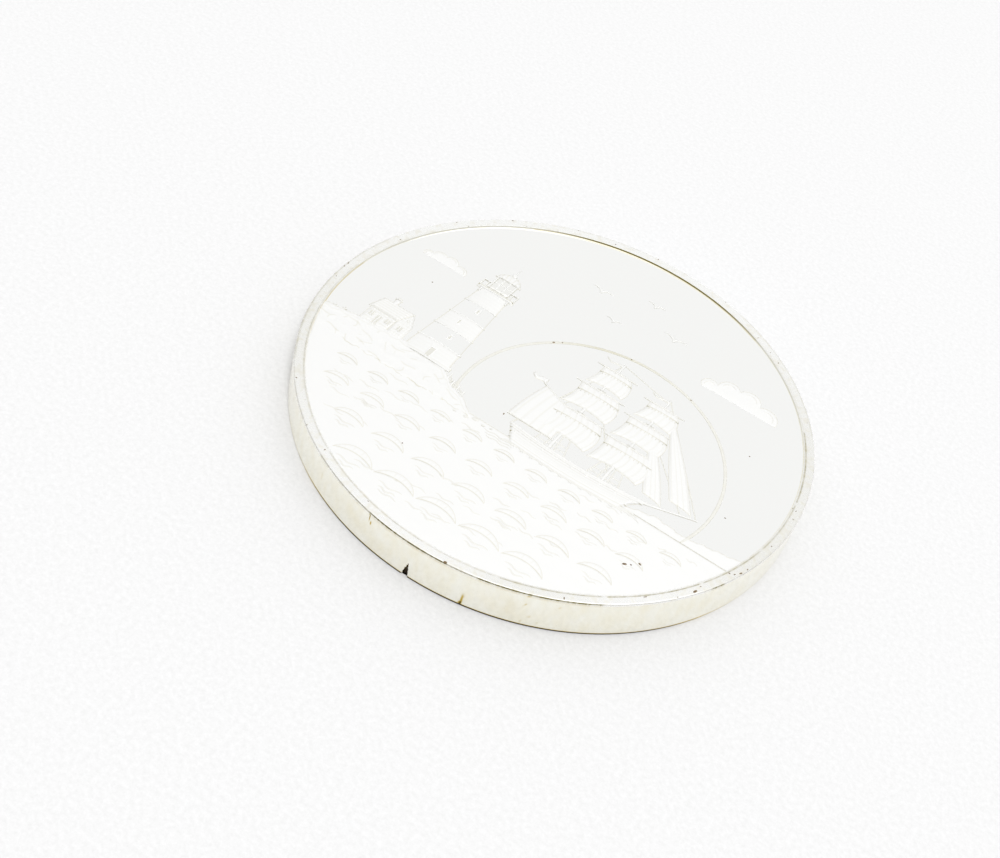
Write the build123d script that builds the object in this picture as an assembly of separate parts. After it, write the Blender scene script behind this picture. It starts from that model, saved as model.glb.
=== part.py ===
from build123d import *

import os
from collections import namedtuple
from math import cos, radians, sin, sqrt

# A struck silver medal lying on its reverse. Its picture's upright direction is +Y.
# The origin is the middle of the underside, and every length is in millimetres.

# Blank
diameter = 39.0
thickness = 3.3
rim_width = 0.82
obverse_depth = 0.17
reverse_depth = 0.25
rim_draft = 0.03
edge_round = 0.12

# Dent at the foot of the side, and a chip on the rim's outer edge
dent_azimuth = -89.7
dent_width = 0.56
dent_height = 1.4
dent_depth = 0.22
dent_bulge = 0.05
chip_azimuth = 185.3
chip_radius = 0.45
chip_depth = 0.07

# Relief. Heights are above the obverse field, and each plate is rooted below it
relief_root = 0.1
rim_root = 0.3
sea_height = 0.03
wave_height = 0.08
sun_height = 0.05
hill_height = 0.025
cloud_height = 0.025
gull_height = 0.045
headland_height = 0.06
spar_height = 0.07
sail_height = 0.1
stay_sail_height = 0.08
hull_height = 0.11
wall_height = 0.075
gable_height = 0.09
roof_height = 0.1
tower_crown = 0.11
gallery_height = 0.12
lantern_height = 0.085

# Places in the picture, as shares of the field's radius
horizon_share = -0.35
ship_share = 0.25
tower_share = -0.5
sun_share = 0.22
sun_low_share = -0.16

# Sizes in the picture
sun_radius = 10.3
sun_line = 0.25
wave_length = 3.0
hull_length = 11.5
hull_side = 1.5
hull_sink = 0.5
mast_tall = 11.7
mast_width = 0.22
yard_width = 0.16
bowsprit_length = 3.4
bowsprit_rise = 1.1
headland_width = 15.2
headland_rise = 2.8
shore_drop = 0.4
hill_width = 10.4
hill_rise = 1.6
tower_tall = 9.2
tower_foot_width = 4.0
tower_head_width = 2.5
gallery_width = 3.3
gallery_tall = 0.5
lantern_width = 1.7
lantern_tall = 1.6
dome_width = 2.1
dome_rise = 0.95
finial_width = 0.22
finial_tall = 1.1
cottage_width = 3.7
cottage_wall = 1.7
cottage_roof = 1.5
cottage_gap = 0.35
gable_width = 1.35
eave_overhang = 0.22
chimney_width = 0.48
chimney_rise = 0.55
cloud_width = 6.4
cloud_rise = 1.9
gull_span = 1.9
gull_line = 0.22

# How far arcs stand out from their chords, as shares of a wave's length, a lobe's or sail's height,
# the hull's side or a gull's wing
wave_rise = 0.34
wave_hollow = 0.15
cloud_lobe = 0.4
sail_hollow = 0.12
sail_belly = 0.14
stay_sail_belly = 0.03
hull_sheer = 0.3
hull_stem = 0.12
wing_hollow = 0.1
wing_lift = 0.3

# Each row of waves: its depth as a share of the sea's, its count, and its size against wave_length
WaveRow = namedtuple("WaveRow", "depth count size")
wave_rows = [
    WaveRow(0.16, 11, 0.62),
    WaveRow(0.34, 9, 0.75),
    WaveRow(0.55, 7, 0.92),
    WaveRow(0.78, 5, 1.1),
]
wave_fill = 0.9
wave_stagger = 0.12

# Each mast: its place as a share of half the hull, and its height as a share of mast_tall
Mast = namedtuple("Mast", "place tall")
masts = [Mast(-0.42, 1.0), Mast(0.36, 0.93)]

# Each square sail: foot and head up the mast, and widths there as shares of the hull's length
Sail = namedtuple("Sail", "foot head foot_width head_width")
sails = [
    Sail(0.13, 0.4, 0.36, 0.33),
    Sail(0.43, 0.67, 0.33, 0.28),
    Sail(0.7, 0.9, 0.27, 0.21),
]

# Each fore-and-aft sail's corners: shares of half the hull along, and of mast_tall up from the deck
Corner = namedtuple("Corner", "along up")
stay_sails = [
    [Corner(0.84, 0.1), Corner(1.14, 0.07), Corner(0.42, 0.62)],
    [Corner(1.16, 0.16), Corner(1.5, 0.14), Corner(0.44, 0.86)],
    [Corner(-1.12, 0.09), Corner(-0.47, 0.09), Corner(-0.47, 0.36), Corner(-1.0, 0.47)],
]

# The hull's corners, anticlockwise from the stern's foot: shares of half the hull along, and of
# its side up from the keel
hull_corners = [Corner(-0.84, 0.0), Corner(0.72, 0.0), Corner(1.0, 1.32), Corner(-1.0, 1.25)]

# Skylines, left to right: shares of the motif's width along, and of its rise up
headland_line = [
    Corner(0.0, 0.72),
    Corner(0.12, 0.8),
    Corner(0.24, 0.93),
    Corner(0.4, 1.0),
    Corner(0.66, 1.0),
    Corner(0.74, 0.84),
    Corner(0.81, 0.52),
    Corner(0.9, 0.34),
    Corner(1.0, -0.1),
]
hill_line = [Corner(0.0, 0.0), Corner(0.3, 0.55), Corner(0.52, 0.4), Corner(1.0, 1.0)]
cloud_line = [Corner(0.0, 0.0), Corner(0.16, 0.45), Corner(0.42, 0.82), Corner(0.72, 0.6), Corner(1.0, 0.0)]

# Each gull or cloud: its place as shares of the field's radius, and its size
Place = namedtuple("Place", "x y size")
gulls = [
    Place(-0.18, 0.66, 1.0),
    Place(0.04, 0.75, 0.85),
    Place(0.2, 0.62, 1.1),
    Place(-0.05, 0.53, 0.75),
]
clouds = [Place(0.41, 0.47, 1.0), Place(-0.86, 0.3, 0.6)]

radius = diameter / 2
rim_inner = radius - rim_width
field_radius = rim_inner - rim_draft
field_z = thickness - obverse_depth
horizon = horizon_share * field_radius
sea_depth = field_radius + horizon
keel_y = horizon - hull_sink
deck_y = keel_y + hull_side
ship_x = ship_share * field_radius
tower_x = tower_share * field_radius
headland_top = horizon + headland_rise


def arc_face(corners, bulges):
    """A face inside anticlockwise corners. Each side is an arc that stands out by its own bulge."""
    sides = []
    for corner, after, bulge in zip(corners, corners[1:] + corners[:1], bulges):
        start = Vector(*corner)
        end = Vector(*after)
        if bulge:
            along = end - start
            out = Vector(along.Y, -along.X).normalized()
            sides.append(ThreePointArc(start, (start + end) / 2 + out * bulge, end))
        else:
            sides.append(Line(start, end))
    return make_face(sides)


def polygon(corners):
    return arc_face(corners, [0] * len(corners))


def bar(start, end, width):
    """A straight bar of even width between two points."""
    run = Vector(*end) - Vector(*start)
    side = Vector(-run.Y, run.X).normalized() * (width / 2)
    first = Vector(*start)
    last = Vector(*end)
    ring = [first - side, last - side, last + side, first + side]
    return polygon([(point.X, point.Y) for point in ring])


def plate(face, height):
    """A face of the picture raised to its height above the field."""
    return extrude(Pos(0, 0, field_z - relief_root) * face, relief_root + height)


def inside_rim(face):
    """The part of a face inside the rim's inner wall, with a root under the rim."""
    return face & Circle(field_radius + rim_root)


def blank():
    """The turned form: recessed field on each face inside a flat rim, and rounded outer edges."""
    turn = edge_round * (1 - sqrt(0.5))
    lines = [
        Polyline(
            (0, reverse_depth),
            (field_radius, reverse_depth),
            (rim_inner, 0),
            (radius - edge_round, 0),
        ),
        ThreePointArc((radius - edge_round, 0), (radius - turn, turn), (radius, edge_round)),
        Line((radius, edge_round), (radius, thickness - edge_round)),
        ThreePointArc(
            (radius, thickness - edge_round),
            (radius - turn, thickness - turn),
            (radius - edge_round, thickness),
        ),
        Polyline(
            (radius - edge_round, thickness),
            (rim_inner, thickness),
            (field_radius, field_z),
            (0, field_z),
            (0, reverse_depth),
        ),
    ]
    return revolve(Plane.XZ * make_face(lines), Axis.Z)


def sea():
    face = Pos(0, horizon - sea_depth) * Rectangle(3 * field_radius, 2 * sea_depth)
    return [plate(inside_rim(face), sea_height)]


def waves():
    """Staggered rows of crescents that grow towards the near edge."""
    crests = []
    for number, row in enumerate(wave_rows):
        y = horizon - row.depth * sea_depth
        half_chord = wave_fill * sqrt(field_radius**2 - y**2)
        pitch = 2 * half_chord / row.count
        length = row.size * wave_length
        shift = wave_stagger * pitch * (-1) ** number
        for index in range(row.count):
            x = -half_chord + (index + 0.5) * pitch + shift
            ends = [(x - length / 2, y), (x + length / 2, y)]
            face = arc_face(ends, [-wave_hollow * length, wave_rise * length])
            crests.append(plate(face, wave_height))
    return crests


def sun():
    """A thin ring that rises from behind the horizon."""
    ring = Circle(sun_radius + sun_line / 2) - Circle(sun_radius - sun_line / 2)
    placed = Pos(sun_share * field_radius, sun_low_share * field_radius) * ring
    above = Pos(0, horizon + field_radius) * Rectangle(3 * field_radius, 2 * field_radius)
    return [plate(placed & above, sun_height)]


def hills():
    left = field_radius - hill_width
    line = [(left + spot.along * hill_width, horizon + spot.up * hill_rise) for spot in hill_line]
    line.append((field_radius + rim_root, line[-1][1]))
    ring = [(left, horizon), (field_radius + rim_root, horizon)] + line[:0:-1]
    return [plate(inside_rim(polygon(ring)), hill_height)]


def cloud_bank():
    made = []
    for place in clouds:
        left = place.x * field_radius
        base = place.y * field_radius
        wide = cloud_width * place.size
        tall = cloud_rise * place.size
        line = [(left + spot.along * wide, base + spot.up * tall) for spot in cloud_line]
        lobes = [cloud_lobe * tall] * (len(line) - 1)
        made.append(plate(arc_face(line[::-1], lobes + [0]), cloud_height))
    return made


def gull_flock():
    """Each gull is two thin crescents that meet at the body."""
    made = []
    for place in gulls:
        x = place.x * field_radius
        y = place.y * field_radius
        wing = gull_span * place.size / 2
        line = gull_line * place.size
        hollow = wing_hollow * wing
        for side in (-1, 1):
            tip = (x + side * wing, y + wing_lift * wing)
            root = (x - side * line / 2, y)
            ends = [tip, root] if side < 0 else [root, tip]
            made.append(plate(arc_face(ends, [-hollow, hollow + line]), gull_height))
    return made


def headland():
    line = [
        (-field_radius + spot.along * headland_width, horizon + spot.up * headland_rise)
        for spot in headland_line
    ]
    start = -field_radius - rim_root
    foot = [(start, line[0][1]), (start, horizon - shore_drop), (line[-1][0], horizon - shore_drop)]
    return [plate(inside_rim(polygon(foot + line[::-1])), headland_height)]


def half_round(y, width):
    """A section across the tower: a low arch on a foot that is rooted in the field."""
    plane = Plane((tower_x, y, field_z), x_dir=(1, 0, 0), z_dir=(0, -1, 0))
    foot = Polyline((-width / 2, 0), (-width / 2, -relief_root), (width / 2, -relief_root), (width / 2, 0))
    arch = ThreePointArc((width / 2, 0), (0, tower_crown), (-width / 2, 0))
    return plane * make_face([foot, arch])


def lighthouse():
    head = headland_top + tower_tall
    tower = loft([half_round(headland_top - shore_drop, tower_foot_width), half_round(head, tower_head_width)])
    gallery = Pos(tower_x, head + gallery_tall / 2) * Rectangle(gallery_width, gallery_tall)
    lantern_y = head + gallery_tall
    lantern = Pos(tower_x, lantern_y + lantern_tall / 2) * Rectangle(lantern_width, lantern_tall)
    dome_y = lantern_y + lantern_tall
    ends = [(tower_x - dome_width / 2, dome_y), (tower_x + dome_width / 2, dome_y)]
    dome = arc_face(ends, [0, dome_rise])
    top = dome_y + dome_rise
    finial = bar((tower_x, top - finial_width), (tower_x, top + finial_tall), finial_width)
    return [
        tower,
        plate(gallery, gallery_height),
        plate(lantern, lantern_height),
        plate(dome, gallery_height),
        plate(finial, spar_height),
    ]


def cottage():
    """A long wall and a gable end seen from one corner, under one roof, with a chimney."""
    right = tower_x - tower_foot_width / 2 - cottage_gap
    left = right - cottage_width
    corner = right - gable_width
    base = headland_top - shore_drop
    eave = base + cottage_wall
    ridge = eave + cottage_roof
    peak = (corner + right) / 2
    stack_x = (left + corner) / 2
    long_wall = [(left, base), (corner, base), (corner, eave), (left, eave)]
    gable = [(corner, base), (right, base), (right, eave), (peak, ridge), (corner, eave)]
    roof = [(left - eave_overhang, eave), (corner, eave), (peak, ridge), (left + eave_overhang, ridge)]
    stack = bar((stack_x, eave), (stack_x, ridge + chimney_rise), chimney_width)
    return [
        plate(polygon(long_wall), wall_height),
        plate(polygon(gable), gable_height),
        plate(polygon(roof), roof_height),
        plate(stack, gable_height),
    ]


def ship_points(corners, foot, rise):
    """Corners as points, from shares of half the hull along and of a rise above a foot."""
    return [(ship_x + spot.along * hull_length / 2, foot + spot.up * rise) for spot in corners]


def square_sails(x, tall):
    """A mast's square sails, each hung from its yard with a hollow foot and bellied sides."""
    made = []
    for sail in sails:
        foot = deck_y + sail.foot * tall
        head = deck_y + sail.head * tall
        low = sail.foot_width * hull_length / 2
        high = sail.head_width * hull_length / 2
        corners = [(x - low, foot), (x + low, foot), (x + high, head), (x - high, head)]
        belly = sail_belly * (head - foot)
        face = arc_face(corners, [-sail_hollow * (head - foot), belly, 0, -belly / 2])
        made.append(plate(face, sail_height))
        yard = bar((x - low, head), (x + low, head), yard_width)
        made.append(plate(yard, spar_height))
    return made


def ship():
    """A two-masted square-rigged ship seen from the side, bow to the right."""
    stem = [hull_stem * hull_side, -hull_stem * hull_side, -hull_sheer * hull_side, 0]
    hull = ship_points(hull_corners, keel_y, hull_side)
    made = [plate(arc_face(hull, stem), hull_height)]
    bow = hull[2]
    tip = (bow[0] + bowsprit_length, bow[1] + bowsprit_rise)
    heel = (bow[0] - bowsprit_length / 4, bow[1] - bowsprit_rise / 4)
    made.append(plate(bar(heel, tip, mast_width), spar_height))
    for mast in masts:
        x = ship_x + mast.place * hull_length / 2
        tall = mast.tall * mast_tall
        made.append(plate(bar((x, deck_y - hull_side / 2), (x, deck_y + tall), mast_width), spar_height))
        made += square_sails(x, tall)
    for corners in stay_sails:
        points = ship_points(corners, deck_y, mast_tall)
        belly = stay_sail_belly * mast_tall
        bulges = [-belly / 2] + [belly / 2] * (len(points) - 2) + [-belly / 2]
        made.append(plate(arc_face(points, bulges), stay_sail_height))
    return made


def dent():
    """A wedge-shaped pit with rounded flanks at the foot of the side."""
    corners = [(-dent_width / 2, -edge_round), (dent_width / 2, -edge_round), (0, dent_height)]
    pit = arc_face(corners, [0, dent_bulge, dent_bulge])
    angle = radians(dent_azimuth)
    out = Vector(cos(angle), sin(angle), 0)
    across = Vector(-sin(angle), cos(angle), 0)
    plane = Plane(out * (radius - dent_depth), x_dir=across, z_dir=out)
    return extrude(plane * pit, 2 * dent_depth)


def chip():
    """A round bite out of the rim's upper outer edge."""
    angle = radians(chip_azimuth)
    reach = radius - chip_depth + chip_radius * sqrt(0.5)
    height = thickness - chip_depth + chip_radius * sqrt(0.5)
    return Pos(reach * cos(angle), reach * sin(angle), height) * Sphere(chip_radius)


motifs = [sea, waves, sun, hills, cloud_bank, gull_flock, headland, lighthouse, cottage, ship]
medal = blank()
for motif in motifs:
    medal = medal.fuse(*motif()).clean()
medal = (medal - dent() - chip()).clean()

os.makedirs("parts", exist_ok=True)
export_step(medal, "parts/medal.step")
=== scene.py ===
from collections import namedtuple
from math import cos, pi, radians, sin, sqrt
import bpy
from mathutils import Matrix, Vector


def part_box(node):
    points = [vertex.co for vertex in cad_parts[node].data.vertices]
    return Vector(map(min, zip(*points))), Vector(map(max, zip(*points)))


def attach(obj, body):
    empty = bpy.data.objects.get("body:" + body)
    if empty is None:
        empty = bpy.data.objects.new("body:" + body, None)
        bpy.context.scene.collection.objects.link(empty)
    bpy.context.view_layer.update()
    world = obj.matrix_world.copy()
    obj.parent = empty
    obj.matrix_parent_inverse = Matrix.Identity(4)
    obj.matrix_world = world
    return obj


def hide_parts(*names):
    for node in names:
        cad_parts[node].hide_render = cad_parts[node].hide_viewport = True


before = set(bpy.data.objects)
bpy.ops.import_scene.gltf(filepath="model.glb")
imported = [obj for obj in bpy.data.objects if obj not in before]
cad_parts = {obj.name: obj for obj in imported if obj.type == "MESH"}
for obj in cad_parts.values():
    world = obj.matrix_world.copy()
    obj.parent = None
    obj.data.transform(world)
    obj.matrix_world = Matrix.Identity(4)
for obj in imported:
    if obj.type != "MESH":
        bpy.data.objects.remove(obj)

from types import SimpleNamespace

import bmesh
import bpy
import numpy as np
from mathutils import Quaternion, Vector

bl_info = {
    "name": "Commemorative medal",
    "version": (1, 0, 0),
    "blender": (4, 5, 0),
    "location": "View3D > Sidebar > Medal",
    "description": "Dresses the struck medal: blank, coast picture in relief, wear and studio",
    "category": "Object",
}

# The picture is drawn in millimetres on the obverse, upright along +Y, and meshes are in metres
MM = 0.001
LOW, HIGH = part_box("medal")

Corner = namedtuple("Corner", "along up")
Place = namedtuple("Place", "x y size")
WaveRow = namedtuple("WaveRow", "depth count size")
Mast = namedtuple("Mast", "place tall")
Sail = namedtuple("Sail", "foot head foot_width head_width")
Speck = namedtuple("Speck", "x y level length width turn")
RimSpeck = namedtuple("RimSpeck", "azimuth radius length width turn")
SideMark = namedtuple("SideMark", "azimuth height half_width half_height depth")
Stretch = namedtuple("Stretch", "start end strength")
Shade = namedtuple("Shade", "azimuth spread depth")
Shell = namedtuple("Shell", "points faces finish tone")


def rows(kind, values):
    """The rows of a table, each with its columns named."""
    return [kind(*value) for value in values]


# Sizes in the picture, in millimetres
SUN_RADIUS, SUN_LINE = 10.3, 0.25
WAVE_LENGTH = 3.0
HILL_WIDTH, HILL_RISE = 10.4, 1.6
CLOUD_WIDTH, CLOUD_RISE = 6.4, 1.9
GULL_SPAN, GULL_LINE = 1.9, 0.22
HEADLAND_WIDTH, HEADLAND_RISE, SHORE_DROP = 15.2, 2.8, 0.4
TOWER_TALL, TOWER_SUNK, TOWER_FOOT, TOWER_HEAD = 9.2, 0.4, 4.0, 2.5
GALLERY_WIDTH, GALLERY_TALL, RAIL_RISE = 3.3, 0.5, 1.12
LANTERN_WIDTH, LANTERN_TALL = 1.7, 1.6
DOME_WIDTH, DOME_RISE = 2.1, 0.95
COTTAGE_GAP, COTTAGE_WIDTH, COTTAGE_WALL, COTTAGE_ROOF = 0.35, 3.7, 1.7, 1.5
GABLE_WIDTH, EAVE = 1.35, 0.22
HULL_LENGTH, HULL_SIDE, KEEL_DROP = 11.5, 1.5, 0.5
MAST_TALL = 11.7
BOWSPRIT = 3.4, 1.1
SHROUD_SPREAD = 1.35

# How far a shell is rooted below its level, and how high a speck stands on the rim
ROOT = 0.05
SPECK_RISE = 0.006

# Places in the picture, as shares of the field's radius
HORIZON = -0.35
SHIP_X = 0.25
TOWER_X = -0.5
SUN_X, SUN_Y = 0.22, -0.16
GULLS = [Place(-0.18, 0.66, 1.0), Place(0.04, 0.75, 0.85), Place(0.2, 0.62, 1.1), Place(-0.05, 0.53, 0.75)]
CLOUDS = [Place(0.41, 0.47, 1.0), Place(-0.86, 0.3, 0.6)]

# Each row of waves: its depth as a share of the sea's, its count, and its size against a wave's length
WAVE_ROWS = [WaveRow(0.16, 11, 0.62), WaveRow(0.34, 9, 0.75), WaveRow(0.55, 7, 0.92), WaveRow(0.78, 5, 1.1)]
# Shares: of the sea's width that a row fills, of the pitch by which rows shift to and fro, and of a
# wave's length by which its upper and lower arcs stand out
WAVE_FILL, WAVE_STAGGER, WAVE_RISE, WAVE_HOLLOW = 0.9, 0.12, 0.34, 0.15

# The ship: shares of half the hull along, and of the taller mast or of the hull's side up
MASTS = [Mast(-0.42, 1.0), Mast(0.36, 0.93)]
SAILS = [Sail(0.13, 0.4, 0.36, 0.33), Sail(0.43, 0.67, 0.33, 0.28), Sail(0.7, 0.9, 0.27, 0.21)]
JIBS = [
    [Corner(0.84, 0.1), Corner(1.14, 0.07), Corner(0.42, 0.62)],
    [Corner(1.16, 0.16), Corner(1.5, 0.14), Corner(0.44, 0.86)],
]
SPANKER = [Corner(-1.12, 0.09), Corner(-0.47, 0.09), Corner(-0.47, 0.36), Corner(-1.0, 0.47)]
HULL = [Corner(-0.84, 0.0), Corner(0.72, 0.0), Corner(1.0, 1.32), Corner(-1.0, 1.25)]

# Skylines, left to right: shares of the motif's width along, and of its rise up
HEADLAND = rows(Corner, [
    (0.0, 0.72), (0.12, 0.8), (0.24, 0.93), (0.4, 1.0), (0.66, 1.0), (0.74, 0.84), (0.81, 0.52),
    (0.9, 0.34), (1.0, -0.1),
])
HILLS = [Corner(0.0, 0.0), Corner(0.3, 0.55), Corner(0.52, 0.4), Corner(1.0, 1.0)]
CLOUD = [Corner(0.0, 0.0), Corner(0.16, 0.45), Corner(0.42, 0.82), Corner(0.72, 0.6), Corner(1.0, 0.0)]
# How far each arc of a cloud stands out, as a share of its rise
CLOUD_LOBE = 0.4
# In millimetres: boulders by their distance from the middle, height against the horizon and length, and
# where tufts of grass and the ends of the fence stand
TUFTS = -17.3, -16.6, -11.0, -6.6, -6.2, -5.9, -5.3
FENCE_ENDS = -6.9, -5.2
ROCKS = rows(Place, [
    (-3.1, -0.28, 0.62), (-2.35, -0.42, 0.4), (-3.75, -0.55, 0.5), (-1.75, -0.3, 0.26), (-4.7, -0.62, 0.34),
])

# The light tent's colours: all round, at the far side, overhead, and low down behind the camera
ROOM_LIGHT = (0.75, 0.75, 0.75, 1)
TENT_LIGHT = (0.955, 0.957, 0.957, 1)
HIGH_LIGHT = (1.15, 1.15, 1.15, 1)
DARK_LIGHT = (0.19, 0.16, 0.015, 1)

# Wear, stains and painted dark reflections, read off the photograph. Azimuths are in degrees, lengths in
# millimetres
DENT = SideMark(-89.7, 0.0, 0.28, 1.4, 0.2)
CHIP_AZIMUTH, CHIP_RADIUS, CHIP_DEPTH = 185.3, 0.45, 0.07
# Azimuths of the marks that need the blank's finest steps, and how far to each side, in radians
FINE_AZIMUTHS, FINE_REACH = (DENT.azimuth, -99.4, -77.0, CHIP_AZIMUTH), 0.022
SIDE_MARKS = rows(SideMark, [
    (-100.2, 2.9, 0.035, 0.34, 0.9), (-99.7, 2.45, 0.06, 0.16, 0.7), (-100.4, 3.18, 0.06, 0.07, 0.9),
    (-103.9, 3.1, 0.05, 0.1, 0.4), (-77.2, 0.6, 0.09, 0.42, 0.6), (-77.4, 0.3, 0.12, 0.14, 0.7),
    (-77.1, 1.05, 0.12, 0.2, 0.25), (-65.0, 3.1, 0.06, 0.12, 0.6), (-65.1, 2.25, 0.06, 0.1, 0.35),
    (-65.4, 2.0, 0.06, 0.1, 0.3), (-63.8, 1.1, 0.1, 0.12, 0.25), (-62.0, 0.6, 0.08, 0.1, 0.15),
    (-58.6, 2.5, 0.06, 0.08, 0.25), (-65.2, 0.45, 0.08, 0.15, 0.2), (-115.5, 1.8, 0.03, 0.35, 0.2),
    (-105.0, 1.6, 1.8, 0.9, 0.035), (-67.6, 1.5, 0.45, 0.9, 0.06), (-96.5, 1.2, 1.4, 0.5, 0.03),
    (-70.0, 1.8, 0.8, 0.8, 0.025), (-57.0, 2.4, 0.6, 0.4, 0.02),
])
# How the rim darkens round the medal
RIM_SHADES = [Shade(-14, 18, 0.055), Shade(22, 28, 0.05), Shade(-66, 14, 0.05), Shade(-155, 30, 0.055)]
# Stretches of the painted dark reflection along the upper corner, and of the dark lines along the rim's two
# edges
CORNER_LINE = rows(Stretch, [
    (-139, -118, 0.12), (-118, -101, 0.18), (-101, -81.5, 0.62), (-81.5, -76, 0.2), (-76, -50, 0.52),
    (-50, -36, 0.04), (-27, -23, 0.5), (165, 215, 0.14),
])
INNER_LINE = rows(Stretch, [
    (-180, 180, 0.03), (-145, -118, 0.17), (-118, -88, 0.2), (-88, -72, 0.14), (-72, -50, 0.33),
    (-50, -28, 0.42), (-28, -10, 0.3), (-10, 8, 0.22), (8, 32, 0.36), (32, 60, 0.06), (150, 170, 0.08),
    (178, 196, 0.15), (196, 216, 0.22),
])
OUTER_LINE = rows(Stretch, [
    (-180, 180, 0.01), (-32, -8, 0.05), (165, 215, 0.18), (98, 122, 0.12), (30, 72, 0.14),
])
# Stretches of painted dark reflection on the wall round the field
WALL_LINE = [Stretch(62, 128, 0.12), Stretch(176, 206, 0.16)]
# Flakes of dirt: on the rim by azimuth and radius, and in the picture by place and drawn height
RIM_SPECKS = rows(RimSpeck, [
    (-30.5, 19.27, 0.36, 0.17, 70), (-18.5, 19.35, 0.24, 0.12, 60), (-16.5, 19.36, 0.14, 0.08, 80),
    (-19.9, 19.2, 0.16, 0.08, 60), (-28.7, 19.04, 0.12, 0.07, 40), (-20.7, 18.95, 0.16, 0.1, 0),
    (-7.1, 19.12, 0.14, 0.06, 80), (5.9, 19.04, 0.12, 0.06, 90), (-58.4, 19.25, 0.24, 0.08, -60),
    (-82.4, 19.4, 0.26, 0.15, 10), (-118.4, 19.05, 0.16, 0.07, 70), (-102.8, 18.93, 0.12, 0.06, 0),
    (-139.2, 19.33, 0.14, 0.08, 0), (-41.5, 18.95, 0.3, 0.07, 50), (54.0, 19.05, 0.16, 0.06, 90),
    (57.6, 19.0, 0.12, 0.05, 90), (62.8, 18.97, 0.15, 0.06, 90), (75.8, 19.36, 0.12, 0.05, 90),
    (95.6, 19.36, 0.2, 0.06, 90), (106.6, 19.0, 0.14, 0.08, 60), (116.2, 19.36, 0.12, 0.06, 20),
    (132.6, 19.36, 0.2, 0.07, 30), (147.0, 19.34, 0.14, 0.06, 60), (163.6, 18.93, 0.14, 0.07, 60),
    (179.9, 19.36, 0.2, 0.09, 90), (181.4, 19.37, 0.16, 0.08, 90), (185.5, 19.2, 0.12, 0.07, 90),
])
SPECKS = rows(Speck, [
    (-3.13, 4.34, 0.055, 0.22, 0.12, 45), (-2.62, 4.81, 0.055, 0.13, 0.09, 45),
    (2.28, 7.15, 0.055, 0.12, 0.09, 0), (7.84, 6.61, 0.055, 0.12, 0.09, -20),
    (11.72, -10.95, 0.08, 0.34, 0.16, 35), (12.52, -10.24, 0.08, 0.3, 0.15, -20),
    (12.1, -10.7, 0.08, 0.12, 0.08, 0), (-13.6, 3.2, 0.0, 0.12, 0.08, 0), (13.9, 4.6, 0.0, 0.12, 0.09, 0),
    (-5.6, -12.4, 0.08, 0.12, 0.08, 60), (-1.9, -4.84, 0.0, 0.2, 0.1, 100), (-3.9, 3.4, 0.0, 0.13, 0.1, 0),
    (15.2, -2.2, 0.0, 0.14, 0.08, 10),
])


def linear(code, alpha=None):
    """An sRGB hex colour as linear numbers."""
    shares = [int(code[i:i + 2], 16) / 255 for i in (1, 3, 5)]
    values = [c / 12.92 if c <= 0.04045 else ((c + 0.055) / 1.055) ** 2.4 for c in shares]
    return values if alpha is None else values + [alpha]


def length(name, description, size):
    """A length for the sidebar, with its default given in millimetres."""
    return bpy.props.FloatProperty(
        name=name, description=description, default=size * MM, min=0, unit="LENGTH")


def colour(name, description, code):
    """A colour for the sidebar, with its default given as an sRGB hex code."""
    return bpy.props.FloatVectorProperty(
        name=name, description=description, default=linear(code), size=3, subtype="COLOR", min=0, max=1)


class MedalBlankSizes(bpy.types.PropertyGroup):
    rim_width: length("Rim width", "Width of the flat raised rim", 0.82)
    rim_draft: length("Rim draft", "How far the rim's inner wall leans in towards the field", 0.03)
    obverse_depth: length("Obverse depth", "Depth of the obverse field below the rim", 0.17)
    reverse_depth: length("Reverse depth", "Depth of the plain reverse field inside its rim", 0.25)
    edge_round: length("Edge round", "Radius of the rim's outer corners", 0.12)


class MedalReliefSizes(bpy.types.PropertyGroup):
    lift: bpy.props.FloatProperty(
        name="Lift", description="Share of the drawn heights at which the relief is struck",
        default=0.5, min=0, max=1, subtype="FACTOR")
    sea: length("Sea", "Drawn height of the frosted sea", 0.06)
    wave: length("Waves", "Drawn height of the wave crests", 0.16)
    land: length("Headland", "Drawn height of the headland", 0.12)
    building: length("Buildings", "Drawn height of the crown of the lighthouse", 0.22)
    sail: length("Sails", "Drawn height of the fullest sail", 0.2)
    ring: length("Sun ring", "Drawn height from which the sun's thin ring is worked out", 0.1)
    sky: length("Sky", "Drawn height of the clouds and the far hills", 0.05)


class MedalFinishes(bpy.types.PropertyGroup):
    mirror: colour("Mirror silver", "Colour of the polished field", "#FAFAF8")
    frost: colour("Frosted silver", "Colour of the matt relief", "#FBFBFA")
    rim: colour("Rim silver", "Colour of the handled rim", "#FCFCFA")
    edge: colour("Toned edge", "Colour of the lightly toned side", "#FBFAF1")
    # Also the colour of the darkest painted contact shadow at the side's foot and of the painted dark
    # reflection under the upper corner
    tarnish: colour("Tarnish", "Colour of the dark spots and the dent", "#2E2418")
    # Also the colour of the painted shade along the foot of the relief, besides its toned joints, seams and
    # hatching
    tone_and_shade: colour("Toning", "Olive tone that gathers at the foot of the relief", "#E0DCC6")
    # Also the colour of the painted dark reflection under the rim's upper corner, besides the dark lines and
    # broad shades on the rim
    patina: colour("Patina", "Olive brown of the thin lines along the rim", "#958B55")
    # Also the colour of the painted contact shadow at the side's foot and of the painted dark reflection on
    # the wall round the field
    straw: colour("Straw", "Golden tone of the side's stains and foot", "#CDB45C")


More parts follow.
